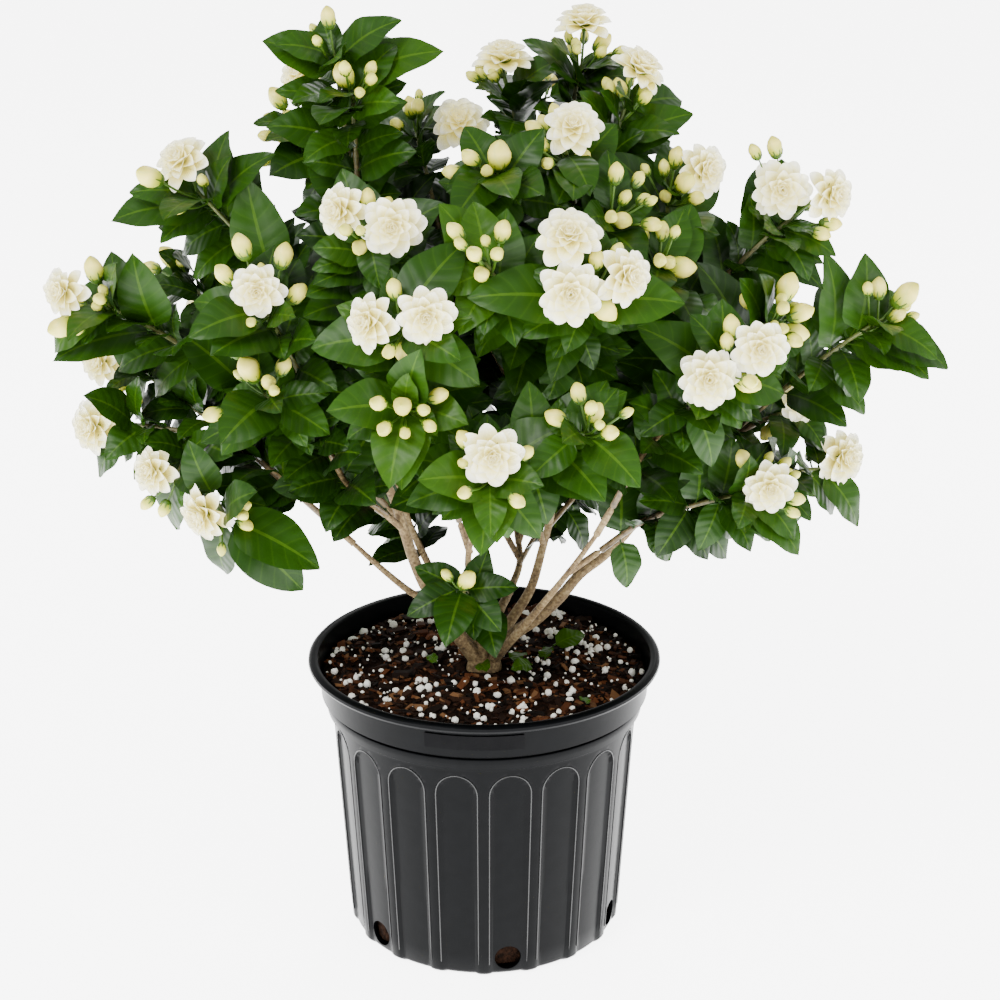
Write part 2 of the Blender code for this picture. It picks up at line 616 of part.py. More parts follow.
def place_leaf(plant, node, root, tip, width, tries, large):
    """Adds the leaf where it is clear, after small turns about its root. A small leaf may hide no flower."""
    run = tip - root
    out = square_to(UP, root - BUSH_MIDDLE)
    face = FRONT if root.y < 0.12 else -FRONT
    thick = LEAF_THICKNESS + 2 * LEAF_CLEARANCE
    for attempt in range(tries):
        turn = (attempt + 1) // 2 * (1 if attempt % 2 else -1)
        moved = run + face * (0.008 * turn) + UP * (0.003 * (attempt // 3))
        moved = moved.normalized() * run.length * (1 - 0.02 * attempt)
        wish = UP * 0.75 + out * 0.35 + face * 0.55 + Vector((0.12 * turn, 0, 0))
        leaf = Leaf(node, root, root + moved, square_to(moved.normalized(), wish), width, large)
        trimmed = leaf_solid(leaf, thick, 0.0012, 0.12)
        if not plant.claimed.clear(node, leaf_solid(leaf, thick, 0.0012), trimmed):
            continue
        if not large and hides_a_flower(plant, trimmed):
            continue
        plant.leaves.append(leaf)
        plant.claimed.add(node, leaf_solid(leaf))
        return True
    return False


def set_seen_leaves(plant):
    """The leaves read off the picture, from their place on the shoot to their tip."""
    for spray, head in plant.shoots:
        way = plant.ways[spray.name]
        for share, u, v in spray.leaves:
            root, heading = along(way, share)
            tip = seen(u, v, (root.y * 2 + spray.depth) / 3 - 0.008)
            if (tip - root).length > 0.09:
                places = [along(way, k / 20)[0] for k in range(4, 21)]
                root = min(places, key=lambda place: abs((place - tip).length - 0.07))
                tip = root + (tip - root) * min(1, 0.085 / (tip - root).length)
            length = (tip - root).length
            width = min(length, 0.078) * plant.draw.uniform(0.54, 0.64)
            place_leaf(plant, "branch_" + spray.branch, root, tip, width, 12, share > 0.6)


def set_paired_leaves(plant):
    """Opposite pairs on the rest of each shoot, each pair turned a quarter from the last."""
    for spray, head in plant.shoots:
        way = plant.ways[spray.name]
        length = sum((b - a).length for a, b in zip(way, way[1:]))
        pairs = max(1, round(length / PAIR_SPACING))
        for pair in range(pairs):
            root, heading = along(way, 0.86 - 0.62 * pair / pairs)
            flat = square_to(heading, UP)
            out = square_to(UP, root - BUSH_MIDDLE)
            for side in (0, 1):
                turn = math.pi * (pair / 2 + side) + plant.draw.uniform(-0.35, 0.35)
                spread = flat * math.cos(turn) + heading.cross(flat) * math.sin(turn)
                size = plant.draw.uniform(0.048, 0.064)
                reach = (spread + heading * 0.45 + out * 0.35 - UP * 0.1).normalized() * size
                width = size * plant.draw.uniform(0.58, 0.68)
                place_leaf(plant, "branch_" + spray.branch, root, root + reach, width, 6, False)


def grow():
    """Works out every stem, bloom, bud and leaf, and keeps each clear of the others."""
    plant = Plant()
    list_shoots(plant)
    grow_limbs(plant)
    grow_sockets(plant)
    grow_shoots(plant)
    set_blooms(plant)
    set_buds(plant)
    set_seen_leaves(plant)
    set_paired_leaves(plant)
    return plant


# Finishes: colour, roughness, metallic
FINISHES = {
    "pot_plastic": ((0.022, 0.023, 0.025), 0.45, 0.0),
    "soil_mix": ((0.055, 0.032, 0.02), 0.95, 0.0),
    "bark": ((0.20, 0.135, 0.075), 0.8, 0.0),
    "leaf_green": ((0.045, 0.16, 0.02), 0.4, 0.0),
    "petal_white": ((0.9, 0.88, 0.8), 0.55, 0.0),
}


def finish(name):
    """The material of that name, made once."""
    material = bpy.data.materials.get(name)
    if material is None:
        colour, roughness, metallic = FINISHES[name]
        material = bpy.data.materials.new(name)
        material.use_nodes = True
        shader = material.node_tree.nodes["Principled BSDF"]
        shader.inputs["Base Color"].default_value = (*colour, 1)
        shader.inputs["Roughness"].default_value = roughness
        shader.inputs["Metallic"].default_value = metallic
        material.diffuse_color = (*colour, 1)
    return material


def solid_object(name, shape, material):
    corners, faces = shape
    mesh = bpy.data.meshes.new(name)
    mesh.from_pydata([tuple(c) for c in corners], [], faces)
    work = bmesh.new()
    work.from_mesh(mesh)
    bmesh.ops.recalc_face_normals(work, faces=work.faces)
    work.to_mesh(mesh)
    work.free()
    thing = bpy.data.objects.new(name, mesh)
    thing.data.materials.append(finish(material))
    bpy.context.scene.collection.objects.link(thing)
    return thing


def fused(name, shapes, material, solver="MANIFOLD"):
    """One closed body made of all the shapes, the first of them being what the others grow from."""
    body = solid_object(name, shapes[0], material)
    if len(shapes) == 1:
        return body
    repeats = bpy.data.collections.new(name + "_repeats")
    bpy.context.scene.collection.children.link(repeats)
    for index, shape in enumerate(shapes[1:]):
        piece = solid_object(f"{name}_piece_{index}", shape, material)
        bpy.context.scene.collection.objects.unlink(piece)
        repeats.objects.link(piece)
    join = body.modifiers.new("join", "BOOLEAN")
    join.operation = "UNION"
    join.operand_type = "COLLECTION"
    join.collection = repeats
    join.solver = solver
    bpy.context.view_layer.update()
    graph = bpy.context.evaluated_depsgraph_get()
    mesh = bpy.data.meshes.new_from_object(body.evaluated_get(graph))
    body.modifiers.clear()
    body.data = mesh
    for piece in list(repeats.objects):
        bpy.data.objects.remove(piece)
    bpy.data.collections.remove(repeats)
    return body


def around(radius, turn, height):
    """A point at a turn from the front, counted towards +X."""
    return Vector((radius * math.sin(turn), -radius * math.cos(turn), height))


# The pot's outer wall from the foot up: height, radius; the panels stop where the arches close
FOOT = (0.0, BASE_RADIUS - 0.005)
FOOT_TOP = (0.005, BASE_RADIUS)
ARCH_START = 0.168
ARCH_TOP = 0.1855
WALL_TOP = (0.193, 0.1215)
COLLAR = ((0.194, 0.1255), (0.203, 0.1262), (0.204, 0.1242), (0.2065, 0.1242), (0.2075, 0.1305),
          (0.2265, 0.1325), (0.2285, 0.1400), (0.2315, 0.1405), (0.2340, 0.1385))
LIP_INSIDE = ((0.2310, 0.1325),)
INNER_RADIUS_TOP = 0.1190
FLOOR_THICKNESS = 0.003
ROUND_COLUMNS = 36


def wall_radius(height):
    share = (height - FOOT_TOP[0]) / (WALL_TOP[0] - FOOT_TOP[0])
    return BASE_RADIUS + (WALL_TOP[1] - BASE_RADIUS) * share


def panel_ring(height, radius, half, depth):
    """Four corners for each panel: the wall's edge, the sunk face's two edges, and the wall's edge again."""
    ring = []
    for panel in range(PANELS):
        middle = FIRST_PANEL + 2 * math.pi * panel / PANELS
        inner = max(half - PANEL_EDGE_ANGLE, half * 0.5)
        ring += [around(radius, middle - half, height), around(radius - depth, middle - inner, height),
                 around(radius - depth, middle + inner, height), around(radius, middle + half, height)]
    return ring


def plain_ring(height, radius):
    """Two corners for each panel, at the middle of the panel and of the strip beside it."""
    return [around(radius, FIRST_PANEL + 2 * math.pi * k / ROUND_COLUMNS, height) for k in range(ROUND_COLUMNS)]


def pot_shape():
    rings = [panel_ring(FOOT[0], FOOT[1], PANEL_HALF_ANGLE, PANEL_DEPTH),
             panel_ring(FOOT_TOP[0], FOOT_TOP[1], PANEL_HALF_ANGLE, PANEL_DEPTH),
             panel_ring(ARCH_START, wall_radius(ARCH_START), PANEL_HALF_ANGLE, PANEL_DEPTH)]
    for share in (0.75,):
        height = ARCH_START + (ARCH_TOP - ARCH_START) * share
        half = PANEL_HALF_ANGLE * math.sqrt(1 - share * share)
        rings.append(panel_ring(height, wall_radius(height), half, PANEL_DEPTH))
    rings.append(panel_ring(ARCH_TOP, wall_radius(ARCH_TOP), PANEL_HALF_ANGLE * 0.2, 0.0002))
    outside = [plain_ring(WALL_TOP[0], WALL_TOP[1])]
    outside += [plain_ring(height, radius) for height, radius in COLLAR + LIP_INSIDE]
    inside = [plain_ring(WALL_TOP[0], INNER_RADIUS_TOP),
              plain_ring(FLOOR_THICKNESS + 0.004, BASE_RADIUS - PANEL_DEPTH - WALL),
              plain_ring(FLOOR_THICKNESS, BASE_RADIUS - PANEL_DEPTH - WALL - 0.004)]
    corners = [corner for ring in rings + outside + inside for corner in ring]
    faces = []
    wide = PANELS * 4
    for index in range(len(rings) - 1):
        for k in range(wide):
            a, b = index * wide + k, index * wide + (k + 1) % wide
            faces.append((a, b, b + wide, a + wide))
    low = (len(rings) - 1) * wide
    high = len(rings) * wide
    for panel in range(PANELS):
        p = [low + panel * 4 + k for k in range(4)] + [low + (panel * 4 + 4) % wide]
        middle, strip = high + panel * 2, high + panel * 2 + 1
        following = high + (panel * 2 + 2) % ROUND_COLUMNS
        faces += [(p[0], p[1], middle), (p[1], p[2], middle), (p[2], p[3], middle), (p[3], strip, middle),
                  (p[3], p[4], strip), (p[4], following, strip)]
    smooth = outside + inside
    for index in range(len(smooth) - 1):
        for k in range(ROUND_COLUMNS):
            a = high + index * ROUND_COLUMNS + k
            b = high + index * ROUND_COLUMNS + (k + 1) % ROUND_COLUMNS
            faces.append((a, b, b + ROUND_COLUMNS, a + ROUND_COLUMNS))
    last = high + (len(smooth) - 1) * ROUND_COLUMNS
    faces.append(tuple(range(last, last + ROUND_COLUMNS)))
    faces.append(tuple(reversed(range(wide))))
    return corners, faces


def make_pot():
    pot = solid_object("pot", pot_shape(), "pot_plastic")
    for hole in range(DRAIN_HOLES):
        turn = FIRST_PANEL + 2 * math.pi * hole / DRAIN_HOLES
        way = [around(BASE_RADIUS + 0.01, turn, DRAIN_HEIGHT), around(BASE_RADIUS - 0.009, turn, DRAIN_HEIGHT)]
        cutter = solid_object(f"drain_cutter_{hole}", tube(way, [DRAIN_RADIUS] * 2, 8), "pot_plastic")
        cutter.hide_render = True
        cutter.display_type = "WIRE"
        cut = pot.modifiers.new("drain", "BOOLEAN")
        cut.operation = "DIFFERENCE"
        cut.object = cutter
    return pot


def make_label():
    """The blank stick-on label on the collar, standing a hair off it."""
    corners, faces = [], []
    low, high, half_turn = 0.2105, 0.2225, math.radians(16.5)
    columns = 6
    for k in range(columns + 1):
        turn = math.radians(-3) + half_turn * (2 * k / columns - 1)
        for height, off in ((low, 0.0008), (low, 0.0014), (high, 0.0014), (high, 0.0008)):
            radius = 0.1305 + 0.002 * (height - 0.2075) / 0.019
            corners.append(around(radius + off, turn, height))
    for k in range(columns):
        for side in range(4):
            a, b = k * 4 + side, k * 4 + (side + 1) % 4
            faces.append((a, b, b + 4, a + 4))
    faces += [(3, 2, 1, 0), tuple(columns * 4 + k for k in range(4))]
    return solid_object("label", (corners, faces), "pot_plastic")


SOIL_COLUMNS = 14


def make_soil():
    """The root ball of potting mix, bumpy on top, with a plain hole where the crown stands."""
    draw = random.Random(3)
    hole = CROWN_RADIUS + SOIL_GAP
    profile = [(0.0, FLOOR_THICKNESS + SOIL_GAP), (0.098, FLOOR_THICKNESS + SOIL_GAP),
               (0.1045, FLOOR_THICKNESS + 0.005), (0.1175, 0.190), (0.1175, SOIL_HEIGHT - 0.002)]
    top = [(0.095, 0.0), (0.07, 0.003), (0.045, 0.002), (hole, 0.004)]
    corners, faces, starts = [Vector((0, 0, profile[0][1]))], [], []
    shells = profile[1:] + [(r, SOIL_HEIGHT + h) for r, h in top]
    shells += [(hole, SOIL_HEIGHT - CROWN_DEPTH)]
    for index, (radius, height) in enumerate(shells):
        starts.append(len(corners))
        bumpy = 3 < index < len(shells) - 2
        for k in range(SOIL_COLUMNS):
            lift = draw.uniform(-0.003, 0.003) if bumpy else 0.0
            corners.append(around(radius, 2 * math.pi * k / SOIL_COLUMNS, height + lift))
    for low, high in zip(starts, starts[1:]):
        for k in range(SOIL_COLUMNS):
            step = (k + 1) % SOIL_COLUMNS
            faces.append((low + k, low + step, high + step, high + k))
    faces += [(0, starts[0] + (k + 1) % SOIL_COLUMNS, starts[0] + k) for k in range(SOIL_COLUMNS)]
    faces.append(tuple(starts[-1] + k for k in range(SOIL_COLUMNS)))
    return solid_object("soil", (corners, faces), "soil_mix")


def main():
    for thing in list(bpy.data.objects):
        bpy.data.objects.remove(thing)
    plant = grow()
    stems, leaves, buds = plant.stems, plant.leaves, plant.buds
    make_pot()
    make_label()
    make_soil()
    crown_low = SOIL_HEIGHT - CROWN_DEPTH + SOIL_GAP
    crown = tube([Vector((0, 0, crown_low)), Vector((0, 0, SOIL_HEIGHT)), Vector((0, 0, SOIL_HEIGHT + 0.019))],
                 [CROWN_RADIUS * 0.8, CROWN_RADIUS * 0.95, CROWN_RADIUS * 0.7], 8)
    wood = [tube(stem.points, stem.radii, 5 if len(stem.points) > 3 else STEM_SIDES)
            for stem in stems if stem.node == "wood"]
    fused("wood", [crown] + wood, "bark")
    for node in sorted({stem.node for stem in stems} - {"wood"}):
        shapes = [tube(s.points, s.radii, STEM_SIDES if len(s.points) > 3 else 3) for s in stems if s.node == node]
        shapes += [bud_solid(bud) for bud in buds if bud.node == node]
        shapes += [leaf_solid(leaf) for leaf in leaves if leaf.node == node]
        fused(node, shapes, "leaf_green")
    for bloom in plant.blooms:
        solid_object(bloom.node, bloom_solid(bloom), "petal_white")
    print(len(leaves), "leaves,", len(buds), "buds,", len(plant.blooms), "blooms")


main()
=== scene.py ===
# %% [markdown]
# # The potted jasmine
#
# This lesson dresses the imported CAD model of a double-flowered jasmine in a black nursery pot. It grows
# the same plant by the same plan as the CAD source, then makes fine leaves, buds, petals, bark and soil
# at the places the plan gives.

import math
import random
from collections import namedtuple

import bmesh
import bpy
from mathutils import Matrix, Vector
from mathutils.bvhtree import BVHTree


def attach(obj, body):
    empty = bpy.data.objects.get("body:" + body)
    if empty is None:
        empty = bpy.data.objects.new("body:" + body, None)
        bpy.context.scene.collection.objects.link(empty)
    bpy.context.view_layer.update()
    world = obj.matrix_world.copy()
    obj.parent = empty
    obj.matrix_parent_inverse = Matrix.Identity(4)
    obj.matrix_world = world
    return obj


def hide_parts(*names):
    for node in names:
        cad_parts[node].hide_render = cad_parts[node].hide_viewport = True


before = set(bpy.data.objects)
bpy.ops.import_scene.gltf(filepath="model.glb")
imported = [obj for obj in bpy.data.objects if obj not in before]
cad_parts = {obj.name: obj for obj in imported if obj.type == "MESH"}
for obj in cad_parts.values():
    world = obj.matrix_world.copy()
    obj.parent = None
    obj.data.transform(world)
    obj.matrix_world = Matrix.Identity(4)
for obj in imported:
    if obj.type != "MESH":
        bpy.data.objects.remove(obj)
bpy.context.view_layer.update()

# %% [markdown]
# ## Sizes
#
# A size could be typed where it is used, but then a change would have to be made in many places. Here
# each size is named once. The pot, the crown and the flowers have real sizes in metres, the same as in
# the CAD source. The last lines say how the reference picture looks at the plant.

# %% Sizes of the pot and the plant
POT_HEIGHT = 0.234
RIM_RADIUS = 0.1405
BASE_RADIUS = 0.110
WALL = 0.0025
PANELS = 18
PANEL_DEPTH = 0.0022
PANEL_HALF_ANGLE = math.radians(7.8)
PANEL_EDGE_ANGLE = math.radians(0.9)
FIRST_PANEL = math.radians(10)
DRAIN_HOLES = 6
DRAIN_RADIUS = 0.0105
DRAIN_HEIGHT = 0.0165
SOIL_HEIGHT = 0.208
SOIL_GAP = 0.0005
CROWN_RADIUS = 0.017
CROWN_DEPTH = 0.045
SEAT_GAP = 0.0003
BLOOM_RADIUS = 0.0225
LEAF_THICKNESS = 0.0007
LEAF_CLEARANCE = 0.0016
# The reference picture is 1000 pixels square. These say how it looks at the plant.
PICTURE_FOCAL = 2309.0
PICTURE_MIDDLE = 500.0
VIEW_PITCH = math.radians(20.31)
VIEW_PLACE = Vector((0.0126, -1.691, 0.988))
UP = Vector((0, 0, 1))
FRONT = Vector((0, -1, 0))
BUSH_MIDDLE = Vector((0, 0, 0.44))
print("pot", POT_HEIGHT, "m high,", 2 * RIM_RADIUS, "m over the rim")

# %% [markdown]
# ## What the picture shows
#
# A spray is one flowering shoot. Random shoots would give a bush of this kind, but not this bush. So the
# head, blooms, buds and clear leaf tips of each spray were read off the picture, in pixels, and
# each spray was given a depth in metres.

# %% The kinds of thing the plan lists
# Places on a spray are in pixels. Its depth is in metres behind the pot's axis.
Spray = namedtuple("Spray", "name branch head depth blooms buds leaves")
Bloom = namedtuple("Bloom", "node middle facing radius")
Bud = namedtuple("Bud", "node root tip radius")
Leaf = namedtuple("Leaf", "node root tip normal width large")
Stem = namedtuple("Stem", "node points radii")
print("kinds:", Spray.__name__, Bloom.__name__, Bud.__name__, Leaf.__name__, Stem.__name__)

# %% The flowering shoots
# Each bloom is (across, down, facing) and each bud is (across, down, half width).
# Each leaf is (share of the way along the stem, across, down), the last two for its tip.
SPRAYS = (
    Spray("low_front", "front", (490, 482), -0.235, ((493, 453, "front"),),
          ((499, 413, 9), (463, 438, 9), (527, 452, 8), (513, 484, 9)),
          ((0.88, 406, 503), (0.86, 541, 538), (0.7, 450, 440), (0.7, 575, 430))),
    Spray("twin", "front_left", (400, 322), -0.215, ((371, 322, "left"), (427, 314, "front")),
          ((394, 287, 9), (402, 353, 9)),
          ((0.86, 480, 384), (0.86, 308, 350), (0.6, 464, 241))),
    Spray("buds_low_left", "front_left", (405, 408), -0.225, (),
          ((386, 399, 7), (403, 399, 11), (440, 395, 9), (431, 413, 8)),
          ((0.8, 346, 438), (0.7, 430, 440))),
    Spray("upper_pair", "upper_left", (370, 232), -0.15, ((341, 211, "left"), (392, 225, "front")),
          ((368, 197, 9), (360, 244, 9)),
          ((0.8, 312, 268), (0.8, 442, 202))),
    Spray("left_front", "left_front", (262, 305), -0.13, ((259, 289, "front"),),
          ((241, 244, 11), (284, 253, 11), (299, 292, 10), (223, 273, 10)),
          ((0.8, 194, 318), (0.7, 330, 330))),
    Spray("buds_left", "left_front", (262, 392), -0.14, (),
          ((231, 342, 12), (249, 363, 13), (284, 364, 9), (266, 387, 8), (242, 399, 9), (215, 404, 9),
           (257, 428, 8)),
          ((0.8, 329, 393), (0.8, 330, 434), (0.6, 200, 440))),
    Spray("left_top", "left_top", (196, 190), -0.03, ((182, 161, "up_left"),),
          ((175, 126, 13), (199, 127, 6), (152, 168, 12)),
          ((0.9, 110, 218), (0.9, 272, 152), (0.88, 225, 128), (0.6, 245, 165), (0.6, 177, 223))),
    Spray("far_left", "left_high", (96, 300), -0.02, ((64, 292, "left"),),
          ((93, 267, 11), (64, 320, 12), (88, 290, 6)),
          ((0.75, 132, 249), (0.75, 51, 358), (0.45, 178, 330))),
    Spray("left_back_buds", "left_high", (186, 275), 0.06, (),
          ((167, 255, 10), (183, 264, 6), (172, 275, 6)),
          ((0.8, 156, 283), (0.6, 240, 262))),
    Spray("left_mid", "left_low", (130, 366), 0.04, ((101, 362, "left"),),
          ((129, 340, 9), (120, 384, 10)),
          ((0.6, 137, 412), (0.6, 180, 335))),
    Spray("left_low", "left_low", (118, 424), 0.01, ((96, 426, "left"),),
          ((138, 400, 6),),
          ((0.75, 96, 464), (0.5, 182, 460))),
    Spray("left_base", "left_low", (176, 478), -0.03, ((155, 470, "left"),),
          ((173, 448, 8),),
          ((0.7, 215, 430), (0.6, 238, 470))),
    Spray("left_base_front", "left_low", (226, 518), -0.07, ((207, 511, "down_left"),),
          ((245, 506, 7), (258, 503, 7)),
          ((0.8, 234, 534), (0.7, 304, 591), (0.7, 340, 572), (0.6, 281, 553))),
    Spray("buds_middle", "front_high", (485, 262), -0.2, (),
          ((454, 230, 9), (482, 226, 8), (503, 229, 10), (474, 244, 9), (491, 247, 7), (481, 270, 9)),
          ((0.8, 437, 282), (0.8, 440, 205))),
    Spray("trio", "front_high", (592, 292), -0.21,
          ((570, 291, "front"), (571, 243, "up_front"), (626, 276, "right")),
          ((605, 309, 13), (597, 258, 9)),
          ((0.85, 464, 292), (0.85, 688, 305), (0.6, 552, 382))),
    Spray("buds_right_mid", "front", (592, 432), -0.22, (),
          ((578, 391, 9), (554, 417, 10), (596, 411, 10), (610, 423, 9), (609, 442, 11)),
          ((0.85, 524, 478), (0.7, 495, 380), (0.6, 640, 400))),
    Spray("star", "top_front", (566, 148), -0.08, ((573, 130, "up_front"),),
          ((533, 128, 9), (539, 142, 9), (583, 157, 9)),
          ((0.8, 519, 153), (0.7, 500, 134), (0.6, 622, 170))),
    Spray("top_middle_buds", "top_front", (486, 168), -0.12, (),
          ((469, 155, 9), (451, 172, 9), (499, 153, 14), (497, 173, 8)),
          ((0.8, 520, 205), (0.6, 440, 180))),
    Spray("tall_left", "top_left", (334, 50), -0.04, (),
          ((328, 15, 9), (317, 33, 6), (343, 28, 6)),
          ((0.92, 263, 39), (0.95, 399, 18), (0.86, 442, 48), (0.74, 405, 81), (0.8, 276, 89),
           (0.68, 267, 124), (0.5, 306, 137), (0.5, 411, 135))),
    Spray("tall_left_buds", "top_left", (352, 92), -0.06, (),
          ((343, 72, 12), (360, 83, 8), (331, 95, 8), (352, 105, 8)), ()),
    Spray("top_back_left", "top_back", (292, 120), 0.07, ((301, 76, "up_left"),),
          ((276, 96, 10), (293, 115, 9), (284, 136, 10), (262, 160, 9), (297, 150, 9)),
          ((0.6, 240, 185),)),
    Spray("top_back_middle", "top_back", (415, 128), 0.08, ((460, 131, "up_front"),),
          ((395, 112, 8), (410, 105, 9), (430, 101, 8), (376, 130, 7), (418, 140, 7)),
          ((0.7, 366, 196),)),
    Spray("top_crown", "top_right", (508, 86), 0.06, ((504, 58, "up"),),
          ((481, 71, 7), (506, 80, 8), (525, 78, 8)),
          ((0.7, 455, 80), (0.6, 547, 95))),
    Spray("top_right", "top_right", (582, 60), 0.05, ((584, 22, "up"),),
          ((565, 40, 7), (604, 41, 9)),
          ((0.85, 524, 38), (0.85, 630, 57), (0.7, 553, 62))),
    Spray("top_right_low", "upper_right", (628, 98), 0.01, ((640, 68, "up_right"),),
          ((613, 73, 7), (619, 87, 9), (648, 90, 9)),
          ((0.85, 696, 112), (0.6, 560, 205))),
    Spray("buds_upper_right", "upper_right", (613, 210), -0.1, (),
          ((616, 171, 9), (604, 199, 6), (626, 196, 7), (601, 184, 7), (623, 217, 10)),
          ((0.7, 612, 260), (0.6, 560, 200))),
    Spray("round_right", "right_top", (668, 192), -0.03, ((704, 170, "right"),),
          ((677, 155, 9), (664, 166, 7), (684, 175, 11), (656, 187, 7), (671, 198, 8)),
          ((0.8, 612, 151), (0.8, 720, 233), (0.6, 710, 142))),
    Spray("right_high", "right_top", (796, 215), -0.02, ((780, 188, "front"), (824, 197, "right")),
          ((754, 150, 7), (774, 145, 9), (833, 224, 9)),
          ((0.62, 709, 113), (0.8, 750, 206), (0.7, 824, 262))),
    Spray("right_far", "right_far", (884, 318), -0.02, (),
          ((879, 286, 9), (908, 293, 13), (892, 302, 7), (899, 314, 8), (865, 316, 5)),
          ((0.72, 829, 253), (0.72, 950, 366), (0.5, 857, 385))),
    Spray("right_cluster", "right_mid", (776, 318), -0.08, (),
          ((788, 285, 13), (746, 300, 8), (766, 289, 8), (803, 312, 11), (753, 316, 8), (797, 333, 12)),
          ((0.7, 700, 262), (0.6, 760, 240))),
    Spray("right_inner_buds", "right_mid", (655, 262), -0.1, (),
          ((621, 239, 8), (654, 267, 6), (683, 267, 13), (672, 294, 6), (716, 256, 8)),
          ((0.8, 640, 262), (0.6, 700, 300))),
    Spray("right_pair", "right_front", (735, 365), -0.16, ((707, 375, "front"), (759, 346, "front")),
          ((731, 324, 10), (718, 337, 6), (693, 345, 7), (748, 384, 11)),
          ((0.85, 632, 330), (0.85, 796, 413), (0.6, 640, 435))),
    Spray("right_low", "right_low", (762, 492), -0.09, ((768, 484, "front"),),
          ((743, 458, 9), (733, 487, 8)),
          ((0.7, 699, 551), (0.65, 739, 558), (0.5, 640, 500), (0.5, 657, 556))),
    Spray("right_upper_tail", "right_far", (794, 410), 0.03, ((801, 396, "front"),),
          ((767, 431, 9),),
          ((0.6, 790, 450),)),
    Spray("low_sprout", "low_sprout", (459, 588), -0.07, (),
          ((446, 574, 6), (468, 576, 10)),
          ((0.8, 518, 587), (0.5, 420, 575))),
    Spray("right_tail", "right_low", (822, 468), 0.02, ((841, 457, "right"),),
          ((816, 445, 6), (831, 481, 8)),
          ((0.7, 818, 497), (0.55, 770, 400))),
)
print(len(SPRAYS), "sprays seen in the picture")

# %% [markdown]
# ## What the picture hides
#
# The far side can't be seen, so it carries guessed shoots of the same habit, set in metres. Under the
# shoots are the woody limbs. A branch could start anywhere on the wood, and naming its limb, and how
# far along it starts, keeps the forks where the picture shows them.

# %% Far shoots
# Each far shoot has its branch, the place of its head in metres, and its number of blooms.
BACK_SHOOTS = (
    ("back_left", (-0.225, 0.170, 0.470), 1), ("back_left", (-0.110, 0.235, 0.400), 1),
    ("back_right", (0.215, 0.165, 0.430), 1), ("back_right", (0.100, 0.230, 0.400), 0),
    ("back_right", (0.150, 0.205, 0.540), 0), ("back_top", (0.000, 0.245, 0.500), 1),
    ("back_top", (-0.090, 0.190, 0.600), 0), ("back_top", (0.050, 0.165, 0.650), 1),
)
print(len(BACK_SHOOTS), "far shoots")

# %% Ways of the woody limbs
# From the crown up: each is a way through the picture, in pixels, with its depth in metres.
Limb = namedtuple("Limb", "name way radius")
LIMBS = (
    Limb("left_trunk", ((455, 630, -0.005), (443, 605, -0.01), (427, 588, -0.015), (414, 560, -0.02),
                        (404, 530, -0.03), (392, 495, -0.035), (374, 462, -0.04)), 0.0072),
    Limb("right_trunk", ((512, 636, -0.005), (537, 618, -0.005), (560, 597, 0.0), (580, 574, 0.0),
                         (604, 556, 0.0), (628, 532, -0.005), (652, 500, -0.01)), 0.0066),
    Limb("middle_trunk", ((508, 625, 0.02), (530, 590, 0.03), (542, 550, 0.03), (553, 505, 0.03),
                          (560, 450, 0.02)), 0.0056),
    Limb("back_trunk", ((497, 618, 0.03), (510, 590, 0.06), (520, 560, 0.09), (515, 520, 0.12)), 0.0052),
    Limb("front_trunk", ((478, 606, -0.02), (468, 565, -0.05), (474, 525, -0.09)), 0.0046),
    Limb("left_low_limb", ((438, 612, 0.005), (405, 588, 0.0), (374, 562, -0.01), (350, 540, -0.02)),
         0.0042),
    Limb("left_thin_limb", ((462, 612, 0.02), (432, 570, 0.03), (412, 530, 0.03), (398, 480, 0.02)),
         0.0044),
    Limb("right_thin_limb", ((522, 628, -0.025), (546, 600, -0.045), (572, 568, -0.06), (600, 530, -0.07)),
         0.0042),
)
print(len(LIMBS), "limbs")

# %% Branches and facings
# The branch that each group of sprays grows on: its limb, and how far along it the branch leaves.
BRANCHES = {
    "front": ("front_trunk", 0.97), "front_left": ("front_trunk", 0.8),
    "low_sprout": ("front_trunk", 0.42), "upper_left": ("left_trunk", 0.93),
    "left_front": ("left_trunk", 0.75), "top_left": ("left_trunk", 0.97),
    "left_low": ("left_low_limb", 0.96), "left_high": ("left_thin_limb", 0.8),
    "left_top": ("left_thin_limb", 0.97), "front_high": ("middle_trunk", 0.75),
    "top_front": ("middle_trunk", 0.9), "top_back": ("middle_trunk", 0.82),
    "top_right": ("middle_trunk", 0.98), "upper_right": ("middle_trunk", 0.66),
    "right_top": ("right_trunk", 0.92), "right_far": ("right_trunk", 0.82),
    "right_mid": ("right_trunk", 0.97), "right_front": ("right_thin_limb", 0.97),
    "right_low": ("right_thin_limb", 0.7), "back_left": ("back_trunk", 0.75),
    "back_right": ("back_trunk", 0.85), "back_top": ("back_trunk", 0.97),
}
FACINGS = {
    "front": (0, -1, 0.15), "up": (0, -0.25, 1), "left": (-0.6, -0.8, 0.2), "right": (0.6, -0.8, 0.2),
    "up_left": (-0.45, -0.6, 0.6), "up_right": (0.5, -0.4, 0.8), "up_front": (0, -0.75, 0.65),
    "down_left": (-0.6, -0.7, -0.15),
}
print(len(BRANCHES), "branches,", len(FACINGS), "facings")

# %% [markdown]
# ## From picture to plant
#
# A pixel is a line of sight, not a place. Where that line meets an upright plane at a known depth is the
# place in metres. A camera object could give the line as well, but this small formula says the whole
# rule, and the CAD source can use the same one.

